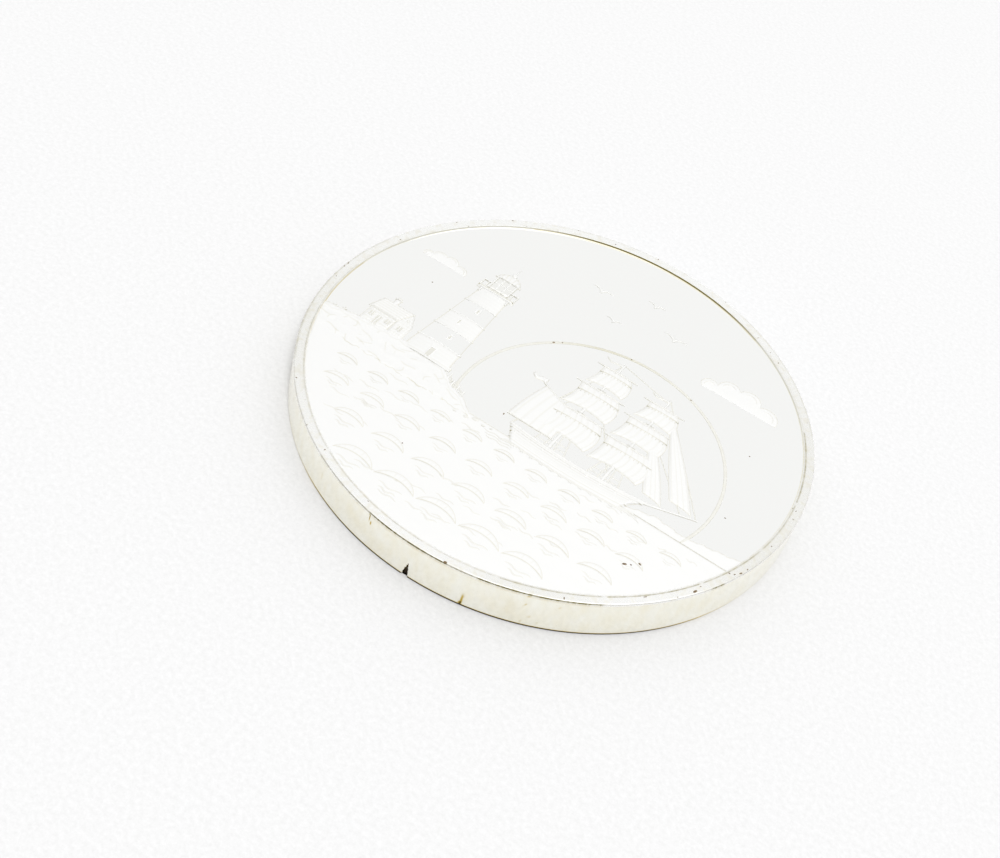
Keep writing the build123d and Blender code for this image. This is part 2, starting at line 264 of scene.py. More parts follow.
def medal_sizes():
    """Every length that pieces share, in millimetres, from the CAD box and the sidebar's sizes."""
    blank, relief = bpy.context.scene.medal_blank, bpy.context.scene.medal_relief
    s = SimpleNamespace()
    for group in (blank, relief):
        for key in group.__annotations__:
            setattr(s, key, getattr(group, key) / MM)
    s.lift = relief.lift
    s.radius = (HIGH.x - LOW.x) / 2 / MM
    s.thickness = (HIGH.z - LOW.z) / MM
    s.rim_top = s.thickness - SPECK_RISE
    s.rim_inner = s.radius - s.rim_width
    s.field_radius = s.rim_inner - s.rim_draft
    s.field_z = s.thickness - s.obverse_depth
    s.reach = s.field_radius + 0.08
    s.horizon = HORIZON * s.field_radius
    s.sea_depth = s.field_radius + s.horizon
    s.tower_x = TOWER_X * s.field_radius
    s.land_top = s.horizon + HEADLAND_RISE
    s.foot_y = s.land_top - TOWER_SUNK
    s.head_y = s.land_top + TOWER_TALL
    s.ship_x = SHIP_X * s.field_radius
    s.half_hull = HULL_LENGTH / 2
    s.keel_y = s.horizon - KEEL_DROP
    s.deck_y = s.keel_y + HULL_SIDE
    s.bow = np.array([s.ship_x + HULL[2].along * s.half_hull, s.keel_y + HULL[2].up * HULL_SIDE])
    s.masts = [(s.ship_x + mast.place * s.half_hull, mast.tall * MAST_TALL) for mast in MASTS]
    return s


# Shapes

def spaced(count):
    """Steps from 0 to 1 that crowd towards both ends, (1 - cos(pi t)) / 2."""
    return (1 - np.cos(pi * np.linspace(0, 1, count))) / 2


def line(start, end, count=2):
    """Even steps along a straight line."""
    return np.linspace(np.array(start, float), np.array(end, float), count)


def points(x, y):
    """Plan points from their x and y, either of which may be one number for all."""
    return np.stack(np.broadcast_arrays(x, y), axis=-1)


def arc(start, end, bulge, steps):
    """Points on the circle arc through two ends that stands out by bulge to the left of its run.
    With half chord c and bulge b the radius is (c^2 + b^2) / 2b and the half angle 2 atan(b / c)."""
    start, end = np.array(start, float), np.array(end, float)
    if abs(bulge) < 1e-6:
        return start + np.outer(steps, end - start)
    half = np.linalg.norm(end - start) / 2
    along = (end - start) / (2 * half)
    left = np.array([-along[1], along[0]])
    size = (half**2 + bulge**2) / (2 * bulge)
    turn = 2 * np.arctan2(bulge, half)
    angle = (2 * steps - 1) * turn
    return (start + end) / 2 + np.outer(size * np.sin(angle), along) + np.outer(
        size * (np.cos(angle) - np.cos(turn)), left)


def ruled(lower, upper, steps):
    """A grid of plan points, straight from each point of a lower line to its fellow on an upper one."""
    v = steps[None, :, None]
    return lower[:, None] * (1 - v) + upper[:, None] * v


def coons(bottom, top, left, right, u, v):
    """A grid inside four edges: the two ruled surfaces between opposite edges added together,
    less the bilinear surface of the four corners."""
    u, v = u[:, None, None], v[None, :, None]
    across = bottom[:, None] * (1 - v) + top[:, None] * v
    along = left[None] * (1 - u) + right[None] * u
    corners = (bottom[0] * (1 - u) + bottom[-1] * u) * (1 - v) + (top[0] * (1 - u) + top[-1] * u) * v
    return across + along - corners


def patch(corners, bulges, u, v):
    """A grid inside four corners (foot left, foot right, head right, head left). The foot, right, head
    and left sides are arcs whose bulges count to the left of runs that go rightwards or upwards."""
    low_left, low_right, high_right, high_left = corners
    foot, right, head, left = bulges
    return coons(
        arc(low_left, low_right, foot, u), arc(high_left, high_right, head, u),
        arc(low_left, high_left, left, v), arc(low_right, high_right, right, v), u, v)


def inset(plan, sides="lrbt"):
    """Each grid point's distance from the nearest of the named sides of its grid: left, right, bottom
    and top."""
    edges = {"l": plan[:1], "r": plan[-1:], "b": plan[:, :1], "t": plan[:, -1:]}
    return np.min([np.linalg.norm(plan - edges[side], axis=2) for side in sides], axis=0)


def smooth_step(value, low, high):
    """Rises from 0 at low to 1 at high, as 3 t^2 - 2 t^3."""
    t = np.clip((value - low) / (high - low), 0, 1)
    return t * t * (3 - 2 * t)


def shoulder(distance, width):
    """The rise of a struck edge from 0 to 1: a tenth of it as a narrow quarter round, and the rest as
    an S over the width, which keeps the slope gentle."""
    lip = np.sqrt(1 - (1 - np.clip(distance / 0.04, 0, 1)) ** 2)
    return 0.1 * lip + 0.9 * smooth_step(distance, 0, width)


def fringe(distance, width=0.1):
    """Painted shade along an edge, standing in for the shade at the foot of the relief: it fades as a square
    to 0 at a width from it.
    """
    return 0.6 * (1 - np.clip(distance / width, 0, 1)) ** 2


def bell(value, width):
    """A bell that is 1 where the value is 0 and falls off to both sides, as exp(-(value / width)^2)."""
    return np.exp(-(value / width) ** 2)


def bells(t, count, width):
    """Narrow bells at equal steps: one in the middle of each 1 / count of the way from 0 to 1."""
    return bell((t * count) % 1 - 0.5, width)


def saw(t):
    """A zigzag between 0 and 1 with period 1."""
    return np.abs(2 * (t % 1) - 1)


def taper(count, power=0.5):
    """Widths along a stroke that is pointed at both ends: (4 t (1 - t)) to a power."""
    t = np.linspace(0, 1, count)
    return (4 * t * (1 - t)) ** power


def outline(corners, share):
    """The height of a drawn skyline, straight from corner to corner, at a share of its width."""
    return np.interp(share, *np.transpose(corners))


def under_rim(plan, s):
    """Draws in any point beyond the rim's wall, so that a motif ends just inside the metal."""
    far = np.linalg.norm(plan, axis=-1, keepdims=True)
    return plan * np.minimum(1, s.reach / np.maximum(far, 1e-6))


def grid_faces(row_count, column_count, wrap=False):
    """Quads of a grid of vertices, wrapping round from the last row to the first if asked."""
    i = np.arange(row_count if wrap else row_count - 1)[:, None]
    j = np.arange(column_count - 1)[None]
    here, after = i * column_count + j, (i + 1) % row_count * column_count + j
    return np.stack([here, after, after + 1, here + 1], axis=-1).reshape(-1, 4)


def shell(plan, height, s, finish=0, tone=0.0, level=None):
    """A closed shell: a grid of plan points raised by their heights above the field or another level,
    with side walls down to a flat underside sunk below that level."""
    shape = plan.shape[:2]
    level, lift = (s.field_z, s.lift) if level is None else (level, 1.0)
    top = np.dstack([plan, level + lift * np.broadcast_to(height, shape)])
    under = np.dstack([plan, np.full(shape, level - ROOT)])
    index = np.arange(plan.size // 2).reshape(shape)
    loop = np.concatenate([index[:-1, 0], index[-1, :-1], index[:0:-1, -1], index[0, :0:-1]])
    after = np.roll(loop, -1)
    walls = np.stack([loop, loop + index.size, after + index.size, after], axis=-1)
    upper = grid_faces(*shape)
    faces = np.concatenate([upper, upper[:, ::-1] + index.size, walls])
    run, rise = plan[1:, :-1] - plan[:-1, :-1], plan[:-1, 1:] - plan[:-1, :-1]
    faces_down = np.sum(run[..., 0] * rise[..., 1] - run[..., 1] * rise[..., 0]) < 0
    tones = np.concatenate([np.broadcast_to(tone, shape).ravel(), np.full(index.size, 0.5)])
    return Shell(
        np.concatenate([top.reshape(-1, 3), under.reshape(-1, 3)]),
        faces[:, ::-1] if faces_down else faces, finish, tones)


def struck(plan, height, s, sides="lrbt", edge=0.2, fade=0.14, tone=0.0):
    """A shell with struck shoulders on the named sides, and painted shade along them added to its own tone.
    """
    distance = inset(plan, sides)
    return shell(
        plan, height * shoulder(distance, edge), s, tone=np.clip(fringe(distance, fade) + tone, 0, 1))


def plate(plan, height, s, edge=0.3, finish=0, tone=0.0):
    """A shell with struck shoulders all round, and painted shade along its edges where its own tone is paler.
    """
    distance = inset(plan)
    return shell(plan, height * shoulder(distance, edge), s, finish, np.maximum(fringe(distance), tone))


def block(x, y, width, tall, height, s, edge=0.09, finish=0, count=12, tone=0.0):
    """A rectangular plate, from the middle of its foot."""
    left, right, head = x - width / 2, x + width / 2, y + tall
    u = spaced(count)
    plan = patch([(left, y), (right, y), (right, head), (left, head)], [0] * 4, u, u)
    return plate(plan, height, s, edge, finish, tone)


def opening(x, y, width, tall, margins, heights, edges, s, tone=0.4):
    """A polished pane, from the middle of its foot, on a frosted frame with margins at the sides, foot
    and head. Heights and edges are the frame's and the pane's."""
    side, foot, head = margins
    return [
        block(x, y - foot, width + 2 * side, tall + foot + head, heights[0], s, edges[0]),
        block(x, y, width, tall, heights[1], s, edges[1], finish=1, tone=tone)]


def ridge(path, width, height, s, base=0.0, sections=7, tone=0.0, level=None):
    """A round-backed ridge: half an ellipse carried along a path, with its own width, height and base at each
    point of the path, and painted shade that darkens its flanks."""
    path = np.asarray(path, float)
    tangent = np.gradient(path, axis=0)
    tangent /= np.linalg.norm(tangent, axis=1, keepdims=True)
    left = np.stack([-tangent[:, 1], tangent[:, 0]], axis=1)
    turn = np.linspace(-pi / 2, pi / 2, sections)[None]
    wide = np.broadcast_to(width, len(path))[:, None, None] / 2
    high = np.broadcast_to(height, len(path))[:, None]
    low = np.broadcast_to(base, len(path))[:, None]
    plan = path[:, None] + left[:, None] * np.sin(turn)[..., None] * wide
    # Painted shade: the flanks darken as they fall away from the crown
    flank_shade = tone + (1 - tone) * 0.3 * (1 - np.cos(turn))
    return shell(plan, low + high * np.cos(turn), s, tone=flank_shade, level=level)


def rod(start, end, width, height, s, base=0.0, tone=0.0, sections=5):
    """A straight ridge of even width."""
    return ridge(line(start, end), width, height, s, base, sections, tone)


def stroke(path, width, height, s, base, tone=0.15, sections=5):
    """A ridge that is pointed at both ends."""
    return ridge(path, width * taper(len(path)), height, s, base, sections, tone)


def lens(x, y, long, width, turn, height, s, level=None, tone=0.0):
    """A low oval mound: an ellipse in plan, and half an ellipse in height, along and across."""
    t = np.cos(np.linspace(pi, 0, 13))
    wide = np.sqrt(1 - t**2)
    path = np.array([x, y]) + np.outer(t * long / 2, [cos(radians(turn)), sin(radians(turn))])
    return ridge(path, width * wide, height * wide, s, sections=9, tone=tone, level=level)


def add_piece(name, shells, *finishes):
    """Joins closed shells into one piece."""
    starts = np.cumsum([0] + [len(part.points) for part in shells])
    place_piece(
        name, np.concatenate([part.points for part in shells]),
        np.concatenate([part.faces + start for part, start in zip(shells, starts)]),
        np.concatenate([np.full(len(part.faces), part.finish) for part in shells]),
        np.concatenate([part.tone for part in shells]), finishes)


def place_piece(name, corners, faces, finish_of_face, tone, finishes, smooth_angle=38):
    """Makes a mesh that rides on the medal, with its tone and painted shade, and makes each finish when it is
    first needed. Coincident points, as at pointed ends, are merged, so that poles are closed."""
    mesh = bpy.data.meshes.new(name)
    mesh.from_pydata(corners * MM, [], faces)
    mesh.polygons.foreach_set("material_index", finish_of_face.astype(np.int32))
    for finish in finishes:
        mesh.materials.append(bpy.data.materials.get(finish.__name__) or finish())
    mesh.attributes.new("tone_and_shade", "FLOAT", "POINT").data.foreach_set("value", tone.astype(np.float32))
    work = bmesh.new()
    work.from_mesh(mesh)
    bmesh.ops.remove_doubles(work, verts=work.verts, dist=1e-9)
    work.to_mesh(mesh)
    work.free()
    mesh.shade_smooth()
    mesh.set_sharp_from_angle(angle=radians(smooth_angle))
    piece = bpy.data.objects.new(name, mesh)
    bpy.context.scene.collection.objects.link(piece)
    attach(piece, "root")
    return piece


# Finishes

def new_material(name):
    """An empty material, its node tree, the object coordinates and the sidebar's colours."""
    material = bpy.data.materials.new(name)
    material.use_nodes = True
    tree = material.node_tree
    tree.nodes.clear()
    where = add(tree, "ShaderNodeTexCoord").outputs["Object"]
    return material, tree, where, bpy.context.scene.medal_finishes


def add(tree, kind, sockets=None, **settings):
    """Adds a node with its settings, and fills its sockets with values or links."""
    node = tree.nodes.new(kind)
    for key, value in settings.items():
        setattr(node, key, value)
    for key, value in (sockets or {}).items():
        if isinstance(value, bpy.types.NodeSocket):
            tree.links.new(value, node.inputs[key])
        else:
            node.inputs[key].default_value = value
    return node


def tinted(tree, value, start, end, first, second, most=1.0):
    """Turns the first colour into the second as a value goes from start to end, up to the most share."""
    share = add(tree, "ShaderNodeMapRange", {
        "Value": value, "From Min": start, "From Max": end, "To Max": most})
    mixed = add(tree, "ShaderNodeMix", {
        "Factor": share.outputs["Result"], "A": first, "B": second}, data_type="RGBA")
    return mixed.outputs["Result"]


def close_surface(tree, sockets):
    """Ends a material: a surface with the given values, led to the output."""
    shader = add(tree, "ShaderNodeBsdfPrincipled", sockets)
    add(tree, "ShaderNodeOutputMaterial", {"Surface": shader.outputs["BSDF"]})


def finish_metal(tree, base, stains, roughness, pattern, strength, depth=0.02):
    """Closes a metal: a pattern raises it by a depth in millimetres, and as the attribute of tone and painted
    shade rises from 0 to 1 its colour turns into each of the stain and shade colours in turn."""
    mark = add(tree, "ShaderNodeAttribute", attribute_name="tone_and_shade").outputs["Fac"]
    for number, stain in enumerate(stains):
        base = tinted(tree, mark, number / len(stains), (number + 1) / len(stains), base, (*stain, 1))
    bump = add(tree, "ShaderNodeBump", {"Height": pattern, "Strength": strength, "Distance": depth * MM})
    close_surface(tree, {
        "Base Color": base, "Metallic": 1.0, "Roughness": roughness, "Normal": bump.outputs["Normal"]})


def proof_mirror_silver():
    """Struck with a polished die: a mirror with the faintest hairlines from wiping, drawn about 0.3 mm
    apart, coarser than real ones, and forty times as long."""
    material, tree, where, finishes = new_material("proof_mirror_silver")
    stretched = add(tree, "ShaderNodeMapping", {
        "Vector": where, "Rotation": (0, 0, radians(24)), "Scale": (0.09, 3.5, 0.09)})
    hairs = add(tree, "ShaderNodeTexNoise", {
        "Vector": stretched.outputs["Vector"], "Scale": 1 / (1 * MM), "Detail": 3.0}).outputs["Fac"]
    # The olive colour also gives the painted shade along the foot of the relief
    finish_metal(tree, (*finishes.mirror, 1), [finishes.tone_and_shade], 0.07, hairs, 0.02, depth=0.01)
    return material


def frosted_silver():
    """Struck with a sandblasted die: an even, soft white with a fine sparkle of grain. The real grain
    is too fine to show, so it is drawn coarser, 0.09 mm across."""
    material, tree, where, finishes = new_material("frosted_silver")
    grain = add(tree, "ShaderNodeTexNoise", {
        "Vector": where, "Scale": 1 / (0.09 * MM), "Detail": 2.0}).outputs["Fac"]
    # The olive colour also gives the painted shade along the foot of the relief
    finish_metal(tree, (*finishes.frost, 1), [finishes.tone_and_shade], 0.62, grain, 0.25)
    return material


def worn_rim_silver():
    """Rolled and handled: satin silver with small brownish nicks 1.3 mm apart, and warm rubs about
    0.45 mm across that shine unevenly."""
    material, tree, where, finishes = new_material("worn_rim_silver")
    rubs = add(tree, "ShaderNodeTexNoise", {
        "Vector": where, "Scale": 1 / (0.45 * MM), "Detail": 2.0}).outputs["Fac"]
    rough = add(tree, "ShaderNodeMapRange", {
        "Value": rubs, "From Min": 0.35, "From Max": 0.7, "To Min": 0.2, "To Max": 0.42})
    nicks = add(tree, "ShaderNodeTexVoronoi", {
        "Vector": where, "Scale": 1 / (1.3 * MM)}).outputs["Distance"]
    rubbed = tinted(tree, rubs, 0.48, 0.68, (*finishes.rim, 1), linear("#F4F2EB", 1))
    nicked = tinted(tree, nicks, 0.07, 0.03, rubbed, linear("#8B7E60", 1), most=0.6)
    # The rim's colours also give the painted dark reflection under its upper corner
    finish_metal(tree, nicked, [finishes.patina, finishes.tarnish], rough.outputs["Result"], rubs, 0.2)
    return material


def toned_edge_silver():
    """Plain rolled edge, lightly toned: pale greenish yellow with a faint mottling, 0.7 mm wide and
    twice as tall."""
    material, tree, where, finishes = new_material("toned_edge_silver")
    upright = add(tree, "ShaderNodeMapping", {"Vector": where, "Scale": (1, 1, 0.5)})
    mottle = add(tree, "ShaderNodeTexNoise", {
        "Vector": upright.outputs["Vector"], "Scale": 1 / (0.7 * MM), "Detail": 5.0}).outputs["Fac"]
    toned = tinted(tree, mottle, 0.35, 0.75, (*finishes.edge, 1), linear("#F7F3E2", 1))
    # The side's colours also give the painted contact shadow at its foot and the painted dark reflection on
    # the wall round the field
    finish_metal(tree, toned, [finishes.straw, finishes.tarnish], 0.12, mottle, 0.06)
    return material


def grimy_silver():
    """Dry dirt on the metal: near black brown, caked in grains of 0.08 mm that vary in colour."""
    material, tree, where, finishes = new_material("grimy_silver")
    cake = add(tree, "ShaderNodeTexNoise", {
        "Vector": where, "Scale": 1 / (0.08 * MM), "Detail": 3.0}).outputs["Fac"]
    mixed = tinted(tree, cake, 0, 1, (*finishes.tarnish, 1), linear("#8A7455", 1))
    bump = add(tree, "ShaderNodeBump", {"Height": cake, "Strength": 0.4, "Distance": 0.02 * MM})
    close_surface(tree, {"Base Color": mixed, "Roughness": 0.8, "Normal": bump.outputs["Normal"]})
    return material


def pale_paper():
    """Matt white paper: an even, pale grey with fibres drawn 0.35 mm wide, coarser than real ones."""
    material, tree, where, _ = new_material("pale_paper")
    fibres = add(tree, "ShaderNodeTexNoise", {
        "Vector": where, "Scale": 1 / (0.35 * MM), "Detail": 4.0, "Roughness": 0.8}).outputs["Fac"]
    paper = tinted(tree, fibres, 0, 1, linear("#B8B8B8", 1), linear("#D4D4D5", 1))
    close_surface(tree, {"Base Color": paper, "Roughness": 0.9, "Specular IOR Level": 0.1})
    return material


# Blank

# The zones of the outline, and each one's place in the blank's list of finishes
FIELD, RIM, SIDE, WALL = range(4)
FINISH_OF_ZONE = np.array([0, 1, 2, 2])


def ends_fine(start, end, count):
    """Steps from start to end whose spacing shrinks towards both ends: three tenths even and seven
    tenths a cosine."""
    t = np.linspace(0, 1, count)
    return start + (end - start) * (0.3 * t + 0.35 * (1 - np.cos(pi * t)))


def blank_profile(s):
    """The turned outline as radius and height, from the reverse's centre out, up the side and back in,
    with the zone of each point. Corners are quarter circles, and points crowd where the outline bends."""
    quarter, rings = np.linspace(0, pi / 2, 9), [0, 5, 12, 17.5]
    lean, inner_round, wall_slope = 0.02, 0.035, 0.2
    outer, edge, top = s.edge_round, s.radius - s.edge_round, s.rim_top
    reverse = [
        (r, s.reverse_depth) for r in (*rings, s.field_radius - 0.1, s.field_radius - lean)]
    reverse += [
        (s.field_radius, s.reverse_depth - lean / 2), (s.rim_inner - lean / 2, lean),
        (s.rim_inner + lean / 2, 0)]
    foot = [(r, 0) for r in np.linspace(s.rim_inner + 0.05, edge - 0.03, 4)]
    low = [(edge + outer * sin(a), outer - outer * cos(a)) for a in quarter]
    side = [(s.radius, z) for z in ends_fine(outer, top - outer, 26)[1:-1]]
    high = [(edge + outer * cos(a), top - outer + outer * sin(a)) for a in quarter]
    rim = [(r, top) for r in np.linspace(edge - 0.03, s.rim_inner + 0.15, 7)]
    rim += [(s.rim_inner + r, top) for r in (0.12, 0.09)]
    rim += [
        (s.rim_inner + inner_round * (1 - sin(a)), top - inner_round * (1 - cos(a))) for a in quarter[:-1]]
    wall = [(s.field_radius + wall_slope * z, s.field_z + z) for z in (0.11, 0.08, 0.05, 0.03)]
    wall += [(s.field_radius - 0.01, s.field_z + 0.012), (s.field_radius - 0.03, s.field_z + 0.003)]
    field = [(r, s.field_z) for r in (s.field_radius - 0.05, s.field_radius - 0.15, *rings[::-1])]
    stretches = [
        (reverse, FIELD), (foot, RIM), (low, SIDE), (side, SIDE), (high, RIM), (rim, RIM), (wall, WALL),
        (field, FIELD)]
    zones = [np.full(len(stretch), zone) for stretch, zone in stretches]
    return np.concatenate([stretch for stretch, _ in stretches]), np.concatenate(zones)


def crumble(angle):
    """An uneven 0 to 1 along the rim: four sines of unlike pitch added together."""
    total = (np.sin(131 * angle) + np.sin(211 * angle + 1.3) + np.sin(337 * angle + 0.7)
             + 1.4 * np.sin(53 * angle + 2.1))
    return np.clip(0.5 + total / 5, 0, 1)


def along_rim(angle, stretches):
    """The strongest of the stretches at each angle, each with ends that fade over a degree."""
    total = np.zeros_like(angle)
    for stretch in stretches:
        span = stretch.end - stretch.start
        past = (np.degrees(angle) % 360 - stretch.start) % 360
        inside = 1.0
        if span < 360:
            inside = smooth_step(past, 0, 1) * (1 - smooth_step(past, span - 1, span))
        total = np.maximum(total, stretch.strength * inside)
    return total


def from_azimuth(angle, azimuth):
    """Signed angle from an azimuth in degrees, between -pi and pi."""
    return (angle - radians(azimuth) + pi) % (2 * pi) - pi


def dent(s, angle, radius, height):
    """Share of the dent's depth at each point: a wedge whose half width shrinks to 0 at its tip,
    leaning to one side, with ragged flanks."""
    lean, flank = 0.12, 0.06
    across = from_azimuth(angle, DENT.azimuth) * s.radius
    rising = np.clip(height / DENT.half_height, 0, 1)
    ragged = 0.03 * np.sin(19 * height) + 0.02 * np.sin(41 * height + 1)
    half = (DENT.half_width + ragged) * (1 - rising)
    depth = np.clip((half - np.abs(across - lean * rising)) / flank, 0, 1)
    return np.where((radius > s.radius - s.edge_round - 0.01) & (rising < 1), depth, 0)


def chip(s, grid):
    """Pushes points inside a small ball at the rim's outer edge on to the ball's surface."""
    angle = radians(CHIP_AZIMUTH)
    out = CHIP_RADIUS * sqrt(0.5) - CHIP_DEPTH
    middle = np.array([(s.radius + out) * cos(angle), (s.radius + out) * sin(angle), s.thickness + out])
    away = grid - middle
    far = np.linalg.norm(away, axis=-1, keepdims=True)
    return np.where(far < CHIP_RADIUS, middle + away * CHIP_RADIUS / far, grid)


def blank_toning(s, angle, radius, height, zone):
    """Painted dark reflection in a line and a halo under the upper corner, dark lines along the rim's two
    edges, broad shades on the rim, painted dark reflection on the wall round the field, a painted contact
    shadow at the side's foot, and the stains on the side. Lines and shades are bells, and stains are bells
    with flatter tops."""
    line_azimuth, foot_shadow_azimuth = -50, -73
    below = s.rim_top - height
    # The painted dark reflection under the upper corner is darkest 0.03 to 0.065 mm under the top, and its
    # halo 0.09 to 0.15 mm
    corner = smooth_step(below, 0.008, 0.03) * (1 - smooth_step(below, 0.065, 0.1))
    halo = 0.28 * smooth_step(below, 0.06, 0.09) * (1 - smooth_step(below, 0.15, 0.36))
    corner = (corner + halo) * (below > 0.012) * (height > 1) * along_rim(angle, CORNER_LINE)
    corner = corner * (0.55 + 0.45 * smooth_step(crumble(angle), 0.3, 0.6))
    inner_line = s.rim_inner + 0.105 + 0.05 * np.cos(from_azimuth(angle, line_azimuth))
    shade = 0
    for middle, width, stretches in ((inner_line, 0.045, INNER_LINE), (s.radius - 0.11, 0.035, OUTER_LINE)):
        near = bell(radius - middle, width)
        shade = shade + near * along_rim(angle, stretches) * (0.5 + 0.5 * crumble(angle))
    for part in RIM_SHADES:
        shade = shade + part.depth * bell(np.degrees(from_azimuth(angle, part.azimuth)), part.spread)
    # Painted contact shadow at the side's foot, strongest on the near side
    foot_shadow = smooth_step(np.cos(from_azimuth(angle, foot_shadow_azimuth)), 0.55, 0.86)
    total = (zone == RIM) * (height > s.field_z) * shade + ((zone == RIM) | (zone == SIDE)) * corner
    total = total + (zone == SIDE) * (1 - smooth_step(height, 0.15, 0.24)) * (0.12 + 0.88 * foot_shadow)
    # Painted dark reflection on the wall round the field
    total = total + (zone == WALL) * along_rim(angle, WALL_LINE)
    for mark in SIDE_MARKS:
        across = from_azimuth(angle, mark.azimuth) * s.radius / mark.half_width
        up = (height - mark.height) / mark.half_height
        total = total + (zone == SIDE) * mark.depth * np.exp(-(across**2 + up**2) ** 1.5)
    return total


class MEDAL_OT_strike_blank(bpy.types.Operator):
    """Turns the blank: its outline carried round the axis, with the dent, the chip, the stains and the
    painted shade
    """
    bl_idname = "medal.strike_blank"
    bl_label = "Strike blank"

    def execute(self, context):
        s = medal_sizes()
        profile, zone = blank_profile(s)
        close = np.linspace(-FINE_REACH, FINE_REACH, 44)
        fine = [from_azimuth(radians(azimuth) + close, 0) for azimuth in FINE_AZIMUTHS]
        angle = np.sort(np.concatenate([np.linspace(-pi, pi, 1000, endpoint=False), *fine]))[:, None]
        radius = np.broadcast_to(profile[:, 0], (len(angle), len(profile)))
        height = np.broadcast_to(profile[:, 1], radius.shape)
        depth = dent(s, angle, radius, height)
        tone = np.clip(blank_toning(s, angle, radius, height, zone) + depth, 0, 1)
        radius = radius - DENT.depth * depth
        grid = chip(s, np.stack([radius * np.cos(angle), radius * np.sin(angle), height], axis=-1))
        piece = place_piece(
            "medal_blank", grid.reshape(-1, 3), grid_faces(*radius.shape, wrap=True),
            np.tile(FINISH_OF_ZONE[zone[1:]], len(angle)), tone.ravel(),
            [proof_mirror_silver, worn_rim_silver, toned_edge_silver], smooth_angle=30)
        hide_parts("medal")
        return {"FINISHED"}


# Relief

def ripples(s):
    """Short wavy strokes. The steps of the golden ratio and of its cubic fellow spread them evenly."""
    made = []
    for number in range(1, 64):
        x = s.field_radius * (1.84 * (number * 0.618 % 1) - 0.92)
        y = s.horizon - s.sea_depth * (0.05 + 0.9 * (number * 0.7549 % 1))
        long = 1.0 + 1.1 * (number * 0.3819 % 1)
        if np.hypot(abs(x) + long / 2, y) > s.field_radius - 0.3:
            continue
        t = np.linspace(0, 1, 24)
        path = points(x + long * (t - 0.5), y + 0.07 * np.sin(3 * pi * t + number))
        made.append(stroke(path, 0.12, 0.03 * taper(24), s, base=s.sea - 0.004))
    return made


class MEDAL_OT_lay_sea(bpy.types.Operator):
    """Lays the frosted sea from the rim up to the horizon, with a low swell and short ripples"""
    bl_idname = "medal.lay_sea"
    bl_label = "Lay sea"

    def execute(self, context):
        s = medal_sizes()
        x = sqrt(s.reach**2 - s.horizon**2) * np.sin(np.linspace(-pi / 2, pi / 2, 220))
        lower = points(x, -np.sqrt(np.maximum(s.reach**2 - x**2, s.horizon**2)))
        steps = np.concatenate([np.linspace(0, 0.985, 90), 1 - 0.015 * np.linspace(0.9, 0, 9) ** 2])
        plan = ruled(lower, points(x, s.horizon), steps)
        swell = np.sin(2 * pi * plan[..., 1] / 1.3 + 1.6 * np.sin(0.45 * plan[..., 0]))
        sea = struck(plan, s.sea + 0.008 * swell, s, "t", fade=0.16)
        add_piece("sea", [sea] + ripples(s), frosted_silver)
        return {"FINISHED"}


def wave(s, x, y, long):
    """A crescent between two arcs that steepens towards its upper lip, hatched with short strokes,
    and two wavy strokes below."""
    u, v = spaced(60), spaced(12)
    lower, upper = [
        arc((x - long / 2, y), (x + long / 2, y), bulge * long, u) for bulge in (WAVE_HOLLOW, WAVE_RISE)]
    plan = ruled(lower, upper, v)
    lip = shoulder(inset(plan, "t"), 0.22) * (0.25 + 0.75 * v[None] ** 1.3)
    hatching = bells(u, 11, 0.13)[:, None] * bell(v - 0.55, 0.3)[None]
    crest = s.sea + (s.wave - s.sea) * shoulder(inset(plan, "lr"), 0.3) * lip - 0.006 * hatching
    # Painted shade along the crescent's two arcs, and toned hatching
    made = [shell(plan, crest, s, tone=fringe(inset(plan, "bt"), 0.12) + 0.14 * hatching)]
    t = np.linspace(0, 1, 24)
    for step, share in ((0.13, 0.34), (0.25, 0.22)):
        swell = points(x + share * long * (2 * t - 1), y - step * long + 0.03 * long * np.sin(3 * pi * t))
        made.append(stroke(swell, 0.05 * long, 0.04 * taper(24), s, base=s.sea - 0.01))
    return made


class MEDAL_OT_roll_waves(bpy.types.Operator):
    """Rolls staggered rows of crescent waves that grow towards the near edge"""
    bl_idname = "medal.roll_waves"
    bl_label = "Roll waves"

    def execute(self, context):
        s = medal_sizes()
        shells = []
        for number, row in enumerate(WAVE_ROWS):
            y = s.horizon - row.depth * s.sea_depth
            half_chord = WAVE_FILL * sqrt(s.field_radius**2 - y**2)
            pitch = 2 * half_chord / row.count
            for index in range(row.count):
                x = -half_chord + (index + 0.5 + WAVE_STAGGER * (-1) ** number) * pitch
                shells += wave(s, x, y, row.size * WAVE_LENGTH)
        add_piece("waves", shells, frosted_silver)
        return {"FINISHED"}


class MEDAL_OT_draw_sun(bpy.types.Operator):
    """Draws the sun's thin ring, which rises from behind the horizon"""
    bl_idname = "medal.draw_sun"
    bl_label = "Draw sun"

    def execute(self, context):
        s = medal_sizes()
        x, y = SUN_X * s.field_radius, SUN_Y * s.field_radius
        start = np.arcsin((s.horizon - y) / SUN_RADIUS)
        angle = np.linspace(start, pi - start, 320)
        path = points(x + SUN_RADIUS * np.cos(angle), y + SUN_RADIUS * np.sin(angle))
        ring = ridge(path, SUN_LINE, 0.6 * s.ring, s, sections=11, tone=0.2)
        # Uneven toning along the ring, and painted shade that darkens it towards its top
        stain = 0.12 * crumble(angle) + 0.35 * bell(angle - 1.9, 0.4)
        ring.tone.reshape(2, 320, 11)[0] += stain[:, None]
        add_piece("sun_ring", [ring], frosted_silver)
        return {"FINISHED"}


